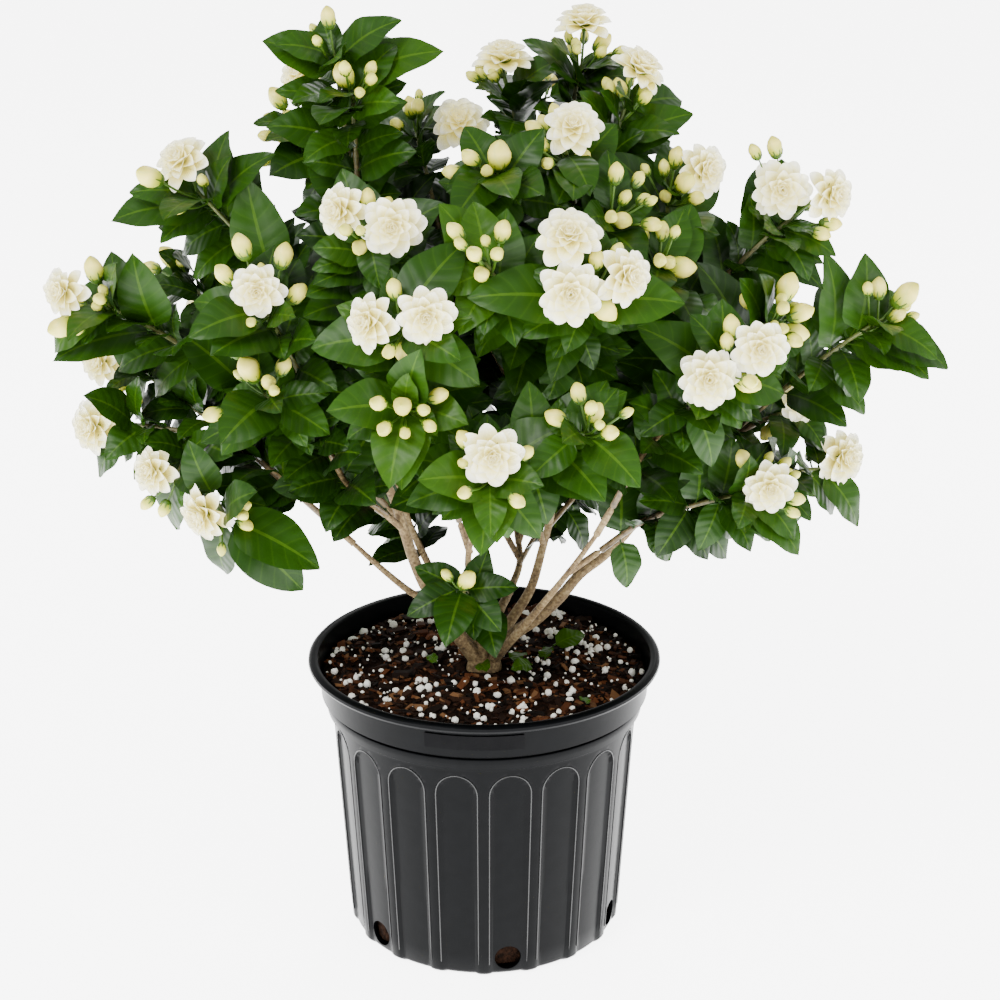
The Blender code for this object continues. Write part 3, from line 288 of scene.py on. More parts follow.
# %% Picture places turned into metres
def seen(across, down, depth):
    """The point of the upright plane y = depth that the picture shows at this pixel."""
    right = (across - PICTURE_MIDDLE) / PICTURE_FOCAL
    rise = (PICTURE_MIDDLE - down) / PICTURE_FOCAL
    ahead = math.cos(VIEW_PITCH) + rise * math.sin(VIEW_PITCH)
    climb = rise * math.cos(VIEW_PITCH) - math.sin(VIEW_PITCH)
    reach = (depth - VIEW_PLACE.y) / ahead
    return VIEW_PLACE + Vector((right * reach, ahead * reach, climb * reach))


def metres_per_pixel(point):
    """How much of the plant one pixel of the picture covers at this point."""
    away = point - VIEW_PLACE
    ahead = away.y * math.cos(VIEW_PITCH) - away.z * math.sin(VIEW_PITCH)
    return ahead / PICTURE_FOCAL


print("middle of the picture at the pot axis:", [round(v, 3) for v in seen(500, 500, 0)])

# %% [markdown]
# ## Simple shapes
#
# Two leaves of a real bush don't pass through each other. The fine meshes could be tested for that, but
# they are slow to test. So the plan tests simple closed shapes instead: tubes, folded blades, round
# buds and layered blooms, the same as the CAD solids.

# %% Arcs and tubes
def bend(start, lean, end, steps, sway=Vector((0, 0, 0))):
    """A smooth arc from start to end that sets off along lean and is pushed aside by sway on its way."""
    span = (end - start).length
    knee = start + lean.normalized() * span * 0.45 + sway
    knee_end = end + (start - end) * 0.25 + UP * span * 0.06 + sway
    points = []
    for step in range(steps + 1):
        t = step / steps
        s = 1 - t
        points.append(start * s ** 3 + knee * 3 * s * s * t + knee_end * 3 * s * t * t + end * t ** 3)
    return points


def along(points, share):
    """The point and direction at a share of the way along a line of points."""
    place = min(max(share, 0.0), 1.0) * (len(points) - 1)
    index = min(int(place), len(points) - 2)
    a, b = points[index], points[index + 1]
    return a.lerp(b, place - index), (b - a).normalized()


def square_to(axis, wish):
    """The direction nearest wish that is square to axis."""
    flat = wish - axis * wish.dot(axis)
    if flat.length < 1e-6:
        flat = axis.orthogonal()
    return flat.normalized()


def tube(points, radii, sides):
    """A closed tube along the points, as corners and faces."""
    corners, faces = [], []
    side = points[1] - points[0]
    normal = side.orthogonal().normalized()
    for index, point in enumerate(points):
        before = points[max(index - 1, 0)]
        after = points[min(index + 1, len(points) - 1)]
        tangent = (after - before).normalized()
        normal = square_to(tangent, normal)
        across = tangent.cross(normal)
        for k in range(sides):
            turn = 2 * math.pi * k / sides
            corners.append(point + (normal * math.cos(turn) + across * math.sin(turn)) * radii[index])
    for index in range(len(points) - 1):
        for k in range(sides):
            a = index * sides + k
            b = index * sides + (k + 1) % sides
            faces.append((a, b, b + sides, a + sides))
    faces.append(tuple(reversed(range(sides))))
    faces.append(tuple(range(len(corners) - sides, len(corners))))
    return corners, faces


print("a four-sided tube between two points has", len(tube([FRONT, UP], [0.1, 0.1], 4)[1]), "faces")

# %% The simple leaf
LEAF_ROWS = ((0.36, 1.0), (0.7, 0.68))
SMALL_LEAF_ROWS = ((0.42, 0.98),)
LEAF_FOLD = 0.16
LEAF_ARCH = 0.09
LEAF_STALK = 0.0009
# Faces from the three corners of the leaf stalk to the six of the blade's widest row
STALK_TO_BLADE = ((0, 1, 4), (0, 4, 3), (1, 5, 4), (1, 6, 5), (1, 2, 6), (2, 7, 6), (2, 8, 7),
                  (2, 0, 8), (0, 3, 8))


def leaf_solid(leaf, thickness=LEAF_THICKNESS, grow=0.0, start=0.0):
    """A folded, arched blade on a short three-sided stalk, tapering from its widest row to the tip."""
    run = leaf.tip - leaf.root
    length = run.length
    axis = run / length
    normal = square_to(axis, leaf.normal)
    across = axis.cross(normal)

    def spine(t):
        return leaf.root + run * t + normal * (length * LEAF_ARCH * 4 * t * (1 - t))

    corners = []
    for t in (start, start + 0.09):
        middle = spine(t)
        corners += [middle - across * LEAF_STALK + normal * LEAF_STALK * 0.6,
                    middle + across * LEAF_STALK + normal * LEAF_STALK * 0.6, middle - normal * LEAF_STALK]
    rows = LEAF_ROWS if leaf.large else SMALL_LEAF_ROWS
    for t, share in rows:
        half = leaf.width / 2 * share + grow
        lift = normal * (thickness / 2)
        edge = normal * (half * LEAF_FOLD)
        left, middle, right = spine(t) - across * half + edge, spine(t), spine(t) + across * half + edge
        corners += [left + lift, middle + lift, right + lift, right - lift, middle - lift, left - lift]
    corners.append(spine(1.0) + axis * grow)
    faces = [(2, 1, 0)]
    for k in range(3):
        after = (k + 1) % 3
        faces.append((k, after, after + 3, k + 3))
    faces += [tuple(c + 3 for c in face) for face in STALK_TO_BLADE]
    for k in range(6):
        a, b = 6 + k, 6 + (k + 1) % 6
        if leaf.large:
            faces += [(a, b, b + 6), (a, b + 6, a + 6)]
            a, b = a + 6, b + 6
        faces.append((a, b, len(corners) - 1))
    return corners, faces


test_leaf = Leaf("test", Vector(), FRONT * 0.06, UP, 0.035, True)
print("a simple large leaf has", len(leaf_solid(test_leaf)[1]), "faces")

# %% The simple bud
BUD_RINGS = ((0.3, 1.0), (0.72, 0.82))
BUD_SIDES = 5
# Faces from the three corners of the bud's stalk to the five of its widest ring
STALK_TO_BUD = ((0, 3, 4), (0, 4, 1), (1, 4, 5), (1, 5, 2), (2, 5, 6), (2, 6, 7), (2, 7, 0), (0, 7, 3))


def bud_solid(bud, grow=1.0, start=0.0):
    """A round bud on a three-sided stalk."""
    run = bud.tip - bud.root
    axis = run.normalized()
    side = axis.orthogonal().normalized()
    across = axis.cross(side)
    bud_length = bud.radius * 2.3
    neck = bud.tip - axis * bud_length
    stalk = min(0.0008, bud.radius * 0.3)
    corners = []

    def ring(middle, radius, sides):
        for k in range(sides):
            turn = 2 * math.pi * k / sides
            corners.append(middle + (side * math.cos(turn) + across * math.sin(turn)) * radius)

    ring(bud.root.lerp(neck, start), stalk, 3)
    ring(neck, stalk * 1.3, 3)
    for t, share in BUD_RINGS:
        ring(neck + axis * bud_length * t, bud.radius * share * grow, BUD_SIDES)
    corners.append(bud.tip)
    faces = [(2, 1, 0)]
    for k in range(3):
        after = (k + 1) % 3
        faces.append((k, after, after + 3, k + 3))
    faces += [tuple(c + 3 for c in face) for face in STALK_TO_BUD]
    for k in range(BUD_SIDES):
        a, b = 6 + k, 6 + (k + 1) % BUD_SIDES
        faces += [(a, b, b + BUD_SIDES, a + BUD_SIDES), (a + BUD_SIDES, b + BUD_SIDES, 6 + 2 * BUD_SIDES)]
    return corners, faces


print("a simple bud has", len(bud_solid(Bud("test", Vector(), FRONT * 0.02, 0.005))[1]), "faces")

# %% The simple bloom
PETALS = 6
# The rings above the calyx, in shares of the bloom's radius: at a petal, between two petals, and height
BLOOM_RINGS = ((1.0, 0.78, 0.05), (0.56, 0.54, 0.13), (0.6, 0.76, 0.34))
BLOOM_HEART = (0.34, 0.38)
BLOOM_NECK = 0.13
BLOOM_FOOT = -0.30


def bloom_solid(bloom):
    """A double bloom: layers of petals raised one above the other from one closed surface."""
    axis = bloom.facing
    side = axis.orthogonal().normalized()
    across = axis.cross(side)
    columns = PETALS * 2

    def corner(column, radius, height):
        turn = math.pi * column / PETALS
        out = side * math.cos(turn) + across * math.sin(turn)
        return bloom.middle + (out * radius + axis * height) * bloom.radius

    corners = [corner(k, BLOOM_NECK, BLOOM_FOOT) for k in range(0, columns, 2)]
    for at_tip, between, height in BLOOM_RINGS:
        corners += [corner(k, at_tip if k % 2 == 0 else between, height) for k in range(columns)]
    corners += [corner(k, *BLOOM_HEART) for k in range(0, columns, 2)]
    corners.append(corner(0, 0, 0.62))
    faces = [tuple(reversed(range(PETALS)))]
    for k in range(PETALS):
        tip, notch, following = PETALS + 2 * k, PETALS + 2 * k + 1, PETALS + (2 * k + 2) % columns
        neck, next_neck = k, (k + 1) % PETALS
        faces += [(neck, notch, tip), (neck, next_neck, notch), (next_neck, following, notch)]
    for index in range(len(BLOOM_RINGS) - 1):
        for k in range(columns):
            a = PETALS + index * columns + k
            b = PETALS + index * columns + (k + 1) % columns
            faces.append((a, b, b + columns, a + columns))
    last = PETALS + (len(BLOOM_RINGS) - 1) * columns
    heart = last + columns
    for k in range(PETALS):
        notch, tip, following = last + 2 * k, last + 2 * k + 1, last + (2 * k + 2) % columns
        now, after = heart + k, heart + (k + 1) % PETALS
        faces += [(notch, tip, now), (tip, after, now), (tip, following, after)]
        faces.append((now, after, len(corners) - 1))
    return corners, faces


print("a simple bloom has", len(bloom_solid(Bloom("test", Vector(), UP, BLOOM_RADIUS))[1]), "faces")

# %% [markdown]
# ## Keeping pieces apart
#
# Every edge of a new piece could be compared with every face of the old ones, but that takes minutes. A
# tree of boxes answers the same question fast: whether any face of one shape cuts a face of another. A
# look at the distance between the two middles skips most of the pieces before that.

# %% Keeping pieces apart
class Claimed:
    """The space that placed pieces already take."""

    def __init__(self):
        self.trees = []

    def add(self, node, shape):
        """Keeps the room of one closed shape."""
        corners, faces = shape
        middle = sum(corners, Vector()) / len(corners)
        reach = max((c - middle).length for c in corners)
        self.trees.append((node, middle, reach, BVHTree.FromPolygons(corners, faces)))

    def hits(self, shape, leave_out=()):
        """Whether the shape cuts any kept one, apart from those of the nodes left out."""
        corners, faces = shape
        middle = sum(corners, Vector()) / len(corners)
        reach = max((c - middle).length for c in corners)
        tree = None
        for node, other_middle, other_reach, other in self.trees:
            if node in leave_out or (other_middle - middle).length > reach + other_reach:
                continue
            tree = tree or BVHTree.FromPolygons(corners, faces)
            if other.overlap(tree):
                return True
        return False

    def clear(self, node, whole, trimmed):
        """Whether the whole shape misses every other node, and its part off the root misses its own."""
        return not self.hits(trimmed) and not self.hits(whole, (node,))


test_space = Claimed()
test_space.add("test", leaf_solid(test_leaf))
print("a leaf hits itself:", test_space.hits(leaf_solid(test_leaf)))

# %% [markdown]
# ## Growing the plant
#
# A bush could be grown by a ready-made tree generator, which knows nothing of this picture. Here the
# order is the plant's own: the limbs, the sockets on them, the shoots, then blooms, buds and leaves.
# The random draw is seeded, so the plant is the same one as in the CAD source.

# %% What the plant holds
STEM_RADIUS = 0.0021
STEM_STEPS = 4
STEM_SIDES = 4
PAIR_SPACING = 0.2
BUD_SHARE = 0.94
FAR_BUDS = 1
SMALLEST_BUD = 8


class Plant:
    """What has been grown so far."""

    def __init__(self):
        self.draw = random.Random(7)
        self.claimed = Claimed()
        self.limbs, self.sockets, self.shoots, self.ways = {}, {}, [], {}
        self.stems, self.blooms, self.buds, self.leaves = [], [], [], []


plant = Plant()
print("an empty plant with", len(plant.stems), "stems")

# %% The list of shoots
def list_shoots(plant):
    """Every shoot with the place of its head, the seen ones first."""
    for spray in SPRAYS:
        plant.shoots.append((spray, seen(*spray.head, spray.depth)))
    for index, (branch, place, flowers) in enumerate(BACK_SHOOTS):
        plant.shoots.append((Spray(f"far_{index}", branch, None, flowers, (), (), ()), Vector(place)))


list_shoots(plant)
print(len(plant.shoots), "shoots to grow")

# %% Woody limbs
def grow_limbs(plant):
    """The woody limbs, from inside the crown up through the places read off the picture."""
    crown = Vector((0, 0, SOIL_HEIGHT + 0.009))
    for limb in LIMBS:
        way = [crown] + [seen(*point) for point in limb.way]
        radii = [limb.radius * (1 - 0.55 * k / (len(way) - 1)) for k in range(len(way))]
        plant.limbs[limb.name] = way
        plant.stems.append(Stem("wood", way, radii))
        plant.claimed.add("wood", tube(way, [r + 0.0004 for r in radii], STEM_SIDES))


grow_limbs(plant)
print(len(plant.limbs), "limbs grown")

# %% A socket for each branch
def grow_sockets(plant):
    """A short woody stub for each branch, leaning the way that the branch goes."""
    for branch, (limb, share) in BRANCHES.items():
        heads = [head for spray, head in plant.shoots if spray.branch == branch]
        middle = sum(heads, Vector()) / len(heads)
        for attempt in range(90):
            start, heading = along(plant.limbs[limb], share + 0.003 * attempt * plant.draw.uniform(-1, 1))
            out = (middle - start).normalized()
            wobble = Vector([plant.draw.uniform(-1, 1) for axis in range(3)]) * 0.015 * attempt
            lean = (out + UP * 0.35 + heading * 0.4 + wobble).normalized()
            end = start + lean * min(0.03, (middle - start).length * 0.2)
            beyond = tube([start + lean * 0.011, end, end + lean * 0.02], [0.0038] * 3, STEM_SIDES)
            if not plant.claimed.hits(beyond):
                break
        else:
            print("no clear socket for", branch)
        plant.stems.append(Stem("wood", [start, end], [0.0031, 0.0027]))
        plant.claimed.add("wood", tube([start, end], [0.0036, 0.0031], STEM_SIDES))
        plant.claimed.add("ahead", tube([end, end + lean * 0.02], [0.003] * 2, STEM_SIDES))
        plant.sockets[branch] = (end, lean)
    plant.claimed.trees = [tree for tree in plant.claimed.trees if tree[0] != "ahead"]


grow_sockets(plant)
print(len(plant.sockets), "sockets set")

# %% Shoots
def grow_shoots(plant):
    """A green shoot to each head. The first of a branch starts at its socket, the others fork from it."""
    for spray, head in plant.shoots:
        node = "branch_" + spray.branch
        end, lean = plant.sockets[spray.branch]
        first = spray.branch not in plant.ways
        for attempt in range(60):
            sway = Vector([plant.draw.uniform(-1, 1) for axis in range(3)]) * 0.003 * attempt
            if first:
                start = end + lean * SEAT_GAP
                way = bend(start, lean, head, STEM_STEPS, sway)
                way[1] = way[0] + lean * max((way[1] - way[0]).dot(lean), 0.006)
            else:
                start, heading = along(plant.ways[spray.branch], 0.3)
                way = bend(start, (head - start).normalized() + heading, head, STEM_STEPS - 1, sway)
            radii = [STEM_RADIUS * (1.25 - 0.55 * k / (len(way) - 1)) for k in range(len(way))]
            if not first:
                radii[0] = STEM_RADIUS * 0.8
            clearance = [r + 0.0005 for r in radii]
            beginning = way[0] + (way[1] - way[0]).normalized() * 0.0015
            trimmed = tube([beginning] + way[1:], clearance, STEM_SIDES)
            if not plant.claimed.hits(trimmed, (node,)):
                break
        else:
            print("no clear way for", spray.name)
        plant.stems.append(Stem(node, way, radii))
        plant.claimed.add(node, tube(way, clearance, STEM_SIDES))
        if first:
            plant.ways[spray.branch] = way
        plant.ways[spray.name] = way


grow_shoots(plant)
print(len(plant.stems), "stems so far")

# %% [markdown]
# ## Blooms, buds and first leaves
#
# A flower that is pushed clear of its neighbours looks better than one cut away by them. So each bloom
# moves outward until it is clear, each bud moves to or from the viewer, and each leaf turns about its
# root. A leaf that finds no room is left out.

# %% Blooms
def set_blooms(plant):
    """The blooms of each shoot, pushed outward until each is clear, on a stalk that ends just under it."""
    for spray, head in plant.shoots:
        node = "branch_" + spray.branch
        wanted = [(seen(u, v, spray.depth), Vector(FACINGS[face]).normalized())
                  for u, v, face in spray.blooms]
        if spray.head is None:
            out = (head - BUSH_MIDDLE).normalized()
            wanted = [(head + out * 0.012, (out + UP * 0.3).normalized())] * spray.depth
        for middle, facing in wanted:
            radius = BLOOM_RADIUS * plant.draw.uniform(0.92, 1.08)
            middle = middle + facing * max(0.0, 0.012 - (middle - head).dot(facing))
            for attempt in range(20):
                bloom = Bloom(f"bloom_{len(plant.blooms) + 1:02d}", middle, facing, radius)
                foot = middle - facing * (radius * 0.30 + SEAT_GAP)
                under = foot - facing * 0.005
                start = head - (under - head).normalized() * 0.001
                stalk = Stem(node, [start, under, foot], [0.0009, 0.001, 0.0016])
                body = tube(stalk.points, [r + 0.0003 for r in stalk.radii], 3)
                room = bloom_solid(bloom._replace(radius=radius * 1.03))
                if not plant.claimed.hits(room) and not plant.claimed.hits(body, (node,)):
                    break
                middle = middle + facing * 0.002 + (middle - head).normalized() * 0.0015
                radius = radius * 0.985
            else:
                print("no clear place for a bloom of", spray.name)
            plant.blooms.append(bloom)
            plant.stems.append(stalk)
            plant.claimed.add(bloom.node, room)
            plant.claimed.add(node, body)


set_blooms(plant)
print(len(plant.blooms), "blooms set")

# %% Buds
def wanted_buds(plant, spray, head):
    """The middle and radius of each bud on a shoot: read off the picture, or by rule on the far side."""
    if spray.head is not None:
        scale = metres_per_pixel(head) * BUD_SHARE
        return [(seen(u, v, spray.depth), half * scale) for u, v, half in spray.buds if half > SMALLEST_BUD]
    out = (head - BUSH_MIDDLE).normalized()
    side = square_to(out, UP)
    around_out = out.cross(side)
    found = []
    for k in range(FAR_BUDS):
        turn = 2.6 * k + plant.draw.uniform(0, 0.5)
        offset = (side * math.cos(turn) + around_out * math.sin(turn)) * 0.028 + out * 0.004
        found.append((head + offset, plant.draw.uniform(0.0045, 0.0062)))
    return found


def set_buds(plant):
    """The larger buds, each on a stalk from the end of its shoot."""
    for spray, head in plant.shoots:
        node = "branch_" + spray.branch
        way = plant.ways[spray.name]
        for index, (middle, radius) in enumerate(wanted_buds(plant, spray, head)):
            root, heading = along(way, 0.97 - 0.035 * index)
            for push in range(8):
                centre = middle + FRONT * 0.005 * push * (1 if middle.y < 0.1 else -1)
                out = (centre - root).normalized()
                if (centre - root).length < radius * 1.8:
                    centre = root + out * radius * 1.8
                bud = Bud(node, root, centre + out * radius * 1.15, radius)
                shape = bud_solid(bud, 1.08)
                if plant.claimed.clear(node, shape, bud_solid(bud, 1.08, 0.4)):
                    plant.buds.append(bud)
                    plant.claimed.add(node, shape)
                    break


set_buds(plant)
print(len(plant.buds), "larger buds set")

# %% Leaves that hide no flower
SIGHT_OFFSETS = (Vector((0, 0, 0)), Vector((0.012, 0, 0)), Vector((-0.012, 0, 0)), Vector((0, 0, 0.012)))


def hides_a_flower(plant, shape):
    """Whether the shape crosses a line of sight from the picture's viewpoint to a flower."""
    tree = BVHTree.FromPolygons(*shape)
    flowers = [bloom.middle for bloom in plant.blooms if bloom.facing.y < 0.2]
    flowers += [bud.tip for bud in plant.buds if bud.tip.y < 0.1]
    for flower in flowers:
        line = flower - VIEW_PLACE
        for offset in SIGHT_OFFSETS:
            if tree.ray_cast(VIEW_PLACE, (line + offset).normalized(), line.length - 0.02)[0] is not None:
                return True
    return False


print("lines of sight tested to each flower:", len(SIGHT_OFFSETS))

# %% Placing one leaf
SEEN_TRIES = 12
PAIR_TRIES = 6


def place_leaf(plant, node, root, tip, width, tries, large):
    """Adds the leaf where it is clear, after small turns. A small leaf may hide no flower."""
    run = tip - root
    out = square_to(UP, root - BUSH_MIDDLE)
    face = FRONT if root.y < 0.12 else -FRONT
    thick = LEAF_THICKNESS + 2 * LEAF_CLEARANCE
    for attempt in range(tries):
        turn = (attempt + 1) // 2 * (1 if attempt % 2 else -1)
        moved = run + face * (0.008 * turn) + UP * (0.003 * (attempt // 3))
        moved = moved.normalized() * run.length * (1 - 0.02 * attempt)
        wish = UP * 0.75 + out * 0.35 + face * 0.55 + Vector((0.12 * turn, 0, 0))
        leaf = Leaf(node, root, root + moved, square_to(moved.normalized(), wish), width, large)
        trimmed = leaf_solid(leaf, thick, 0.0012, 0.12)
        if not plant.claimed.clear(node, leaf_solid(leaf, thick, 0.0012), trimmed):
            continue
        if not large and hides_a_flower(plant, trimmed):
            continue
        plant.leaves.append(leaf)
        plant.claimed.add(node, leaf_solid(leaf))
        return


print("a seen leaf gets", SEEN_TRIES, "tries, a paired one", PAIR_TRIES)

# %% Leaves seen in the picture
# A leaf longer than the first of these starts nearer to its tip, where it would have the usual length.
TOO_LONG = 0.09
USUAL_LENGTH = 0.07
LONGEST_LEAF = 0.085
LONGEST_FOR_WIDTH = 0.078


def set_seen_leaves(plant):
    """The leaves read off the picture, from their place on the shoot to their tip."""
    for spray, head in plant.shoots:
        way = plant.ways[spray.name]
        for share, u, v in spray.leaves:
            root, heading = along(way, share)
            tip = seen(u, v, (root.y * 2 + spray.depth) / 3 - 0.008)
            if (tip - root).length > TOO_LONG:
                places = [along(way, k / 20)[0] for k in range(4, 21)]
                root = min(places, key=lambda place: abs((place - tip).length - USUAL_LENGTH))
                tip = root + (tip - root) * min(1, LONGEST_LEAF / (tip - root).length)
            length = (tip - root).length
            width = min(length, LONGEST_FOR_WIDTH) * plant.draw.uniform(0.54, 0.64)
            place_leaf(plant, "branch_" + spray.branch, root, tip, width, SEEN_TRIES, share > 0.6)


set_seen_leaves(plant)
print(len(plant.leaves), "seen leaves placed")

# %% Leaves in opposite pairs
# The share of the shoot where the topmost pair sits, and the share that all the pairs cover
PAIRS_TOP = 0.86
PAIRS_RUN = 0.62


def set_paired_leaves(plant):
    """Opposite pairs on the rest of each shoot, each pair turned a quarter from the last."""
    for spray, head in plant.shoots:
        way = plant.ways[spray.name]
        length = sum((b - a).length for a, b in zip(way, way[1:]))
        pairs = max(1, round(length / PAIR_SPACING))
        for pair in range(pairs):
            root, heading = along(way, PAIRS_TOP - PAIRS_RUN * pair / pairs)
            flat = square_to(heading, UP)
            out = square_to(UP, root - BUSH_MIDDLE)
            for side in (0, 1):
                turn = math.pi * (pair / 2 + side) + plant.draw.uniform(-0.35, 0.35)
                spread = flat * math.cos(turn) + heading.cross(flat) * math.sin(turn)
                size = plant.draw.uniform(0.048, 0.064)
                reach = (spread + heading * 0.45 + out * 0.35 - UP * 0.1).normalized() * size
                width = size * plant.draw.uniform(0.58, 0.68)
                place_leaf(plant, "branch_" + spray.branch, root, root + reach, width, PAIR_TRIES, False)


set_paired_leaves(plant)
stems, leaves, buds, blooms = plant.stems, plant.leaves, plant.buds, plant.blooms
print(len(stems), "stems,", len(leaves), "leaves,", len(buds), "buds,", len(blooms), "blooms")

# %% [markdown]
# ## More leaves
#
# The CAD source carries the leaves that the picture shows best. A real bush is denser. Leaves could be
# scattered over it by a particle system, but those would cut through the flowers. So each shoot gets
# more opposite pairs here, and a new leaf is kept only where it misses everything and doesn't come
# between the viewer and a flower.

# %% One more leaf
random_more = random.Random(21)
SHEET = 0.0007


def try_leaf(node, root, reach, width, tries=7):
    """Adds a leaf at the root where it is clear of everything, turning it a little at each try."""
    out = square_to(UP, root - BUSH_MIDDLE)
    face = FRONT if root.y < 0.12 else -FRONT
    for attempt in range(tries):
        turn = Vector([random_more.uniform(-1, 1) for axis in range(3)]) * 0.22 * attempt
        run = (reach.normalized() + turn).normalized() * reach.length * (1 - 0.05 * attempt)
        normal = square_to(run.normalized(), UP * 0.7 + out * 0.35 + face * 0.6)
        leaf = Leaf(node, root, root + run, normal, width * (1 - 0.05 * attempt), False)
        trimmed = leaf_solid(leaf, SHEET, 0.0, 0.14)
        if not plant.claimed.clear(node, leaf_solid(leaf, SHEET), trimmed):
            continue
        if hides_a_flower(plant, trimmed):
            continue
        leaves.append(leaf)
        plant.claimed.add(node, leaf_solid(leaf))
        return


print("a new leaf is tested as a sheet", SHEET, "m thick")

# %% [markdown]
# ## Shoots in the middle
#
# The front shoots follow the picture and the far ones are guessed, which leaves a hollow between them
# when the plant is seen from its side. More leaves on the old shoots would not reach it, so these shoots
# fill it. Each starts where the wood is nearest to a point under its tip and runs up to the tip, and it
# belongs to the nearest far branch.

# %% Shoots that fill the middle of the bush
INNER_TOPS = ((-0.24, 0.10, 0.46), (-0.20, 0.15, 0.50), (-0.16, 0.09, 0.53), (-0.11, 0.14, 0.56),
              (-0.07, 0.09, 0.57), (-0.02, 0.14, 0.58), (0.02, 0.09, 0.58), (0.07, 0.14, 0.58),
              (0.11, 0.09, 0.56), (0.15, 0.14, 0.54), (0.20, 0.10, 0.52), (0.23, 0.15, 0.48),
              (-0.13, 0.13, 0.43), (0.0, 0.16, 0.46), (0.13, 0.13, 0.43), (-0.06, 0.19, 0.52),
              (0.06, 0.19, 0.50))
INNER_RADII = [0.0023, 0.0019, 0.0015, 0.0011]
woody = [stem for stem in stems if stem.node == "wood" and len(stem.points) > 2]
back_nodes = [stem for stem in stems if "back" in stem.node and len(stem.points) > 3]
for x, y, top in INNER_TOPS:
    tip = Vector((x, y, top))
    aim = Vector((x * 0.5, y * 0.6, top - 0.17))
    start = min((along(stem.points, share / 20)[0] for stem in woody for share in range(6, 20)),
                key=lambda point: (point - aim).length)
    near = min(back_nodes, key=lambda stem: (stem.points[-1] - tip).length)
    way = [start, start.lerp(tip, 0.3) + FRONT * -0.012, start.lerp(tip, 0.65) + FRONT * -0.01, tip]
    stems.append(Stem(near.node, way, INNER_RADII))
print(len(INNER_TOPS), "inner shoots added")

# %% [markdown]
# ## Pairs of leaves
#
# Jasmine leaves grow in opposite pairs, and each pair is turned a quarter from the last. A leaf at any
# random place would lose that order. The loop keeps it on every shoot and on the upper part of every
# limb, and a small draw loosens it.

# %% The ways that leaves grow on
leafy_ways = []
for stem in stems:
    if len(stem.points) > 3:
        thick = stem.node == "wood"
        leafy_ways.append((stem, 0.55 if thick else 0.06, 0.98))
print(len(leafy_ways), "ways carry leaves")

# %% Opposite pairs on every way
DENSE_SPACING = 0.010
cad_leaves = len(leaves)
for stem, first_share, last_share in leafy_ways:
    node = stem.node if stem.node != "wood" else "branch_front"
    length = sum((b - a).length for a, b in zip(stem.points, stem.points[1:])) * (last_share - first_share)
    pairs = max(2, round(length / DENSE_SPACING))
    for pair in range(pairs):
        share = last_share - (last_share - first_share) * (pair + random_more.uniform(0, 0.6)) / pairs
        root, heading = along(stem.points, share)
        flat = square_to(heading, UP)
        out = square_to(UP, root - BUSH_MIDDLE)
        for side in (0, 1):
            turn = math.pi * (pair / 2 + side) + random_more.uniform(-0.5, 0.5)
            spread = flat * math.cos(turn) + heading.cross(flat) * math.sin(turn)
            size = random_more.uniform(0.038, 0.062)
            reach = (spread + heading * 0.4 + out * 0.25).normalized() * size
            try_leaf(node, root, reach, size * random_more.uniform(0.56, 0.68))
print(len(leaves) - cad_leaves, "leaves added")

# %% [markdown]
# ## Small buds
#
# The picture shows tight clusters of buds of all ages. The CAD source has only the larger ones. Each
# small bud could be read off the picture too, but many hide behind others. So the smallest seen ones are
# added, then young ones round each head on stalks that fan out. The sprout low on the trunk has just
# two buds in the picture, so it gets no more.

# %% The smallest buds
small_before = len(buds)
for spray in SPRAYS:
    way = plant.ways[spray.name]
    for index, (across, down, half) in enumerate(spray.buds):
        if half > SMALLEST_BUD:
            continue
        centre = seen(across, down, spray.depth)
        root, heading = along(way, 0.95 - 0.03 * index)
        out = (centre - root).normalized()
        radius = half * metres_per_pixel(centre) * BUD_SHARE
        bud = Bud("branch_" + spray.branch, root, centre + out * radius * 1.15, radius)
        if not plant.claimed.hits(bud_solid(bud, 1.0, 0.5)):
            buds.append(bud)
            plant.claimed.add(bud.node, bud_solid(bud))
print(len(buds) - small_before, "small buds added")

# %% Young buds round every head
YOUNG_TRIES = 14
GOLDEN_SHARE = 0.382
young_before = len(buds)
for spray in SPRAYS:
    if spray.name == "low_sprout":
        continue
    root, heading = along(plant.ways[spray.name], 0.93)
    flat = heading.orthogonal().normalized()
    for k in range(YOUNG_TRIES):
        turn = 2 * math.pi * k * GOLDEN_SHARE
        lean = math.radians(random_more.uniform(20, 62))
        spread = flat * math.cos(turn) + heading.cross(flat) * math.sin(turn)
        out = heading * math.cos(lean) + spread * math.sin(lean)
        radius = random_more.uniform(0.0036, 0.0056)
        tip = root + (out + FRONT * 0.15).normalized() * random_more.uniform(0.026, 0.044)
        bud = Bud("branch_" + spray.branch, root, tip, radius)
        body = bud_solid(bud, 1.0, 0.5)
        if not plant.claimed.hits(body) and not hides_a_flower(plant, body):
            buds.append(bud)
            plant.claimed.add(bud.node, body)
print(len(buds) - young_before, "young buds added")

# %% [markdown]
# ## Building fine meshes
#
# A leaf could be one picture on a flat card, but then it has no form of its own. Here every leaf, petal
# and bud is a small mesh. One piece is a list of corners, a list of faces and, for each corner, three
# numbers that its material reads: how far along the piece it is, how far across, and a third of its own,
# such as a tone, or on a leaf its painted shade.

# %% Putting a thing in the scene
def add_object(name, data):
    """A new object in the scene, for a mesh, a light or a camera."""
    thing = bpy.data.objects.new(name, data)
    bpy.context.scene.collection.objects.link(thing)
    return thing


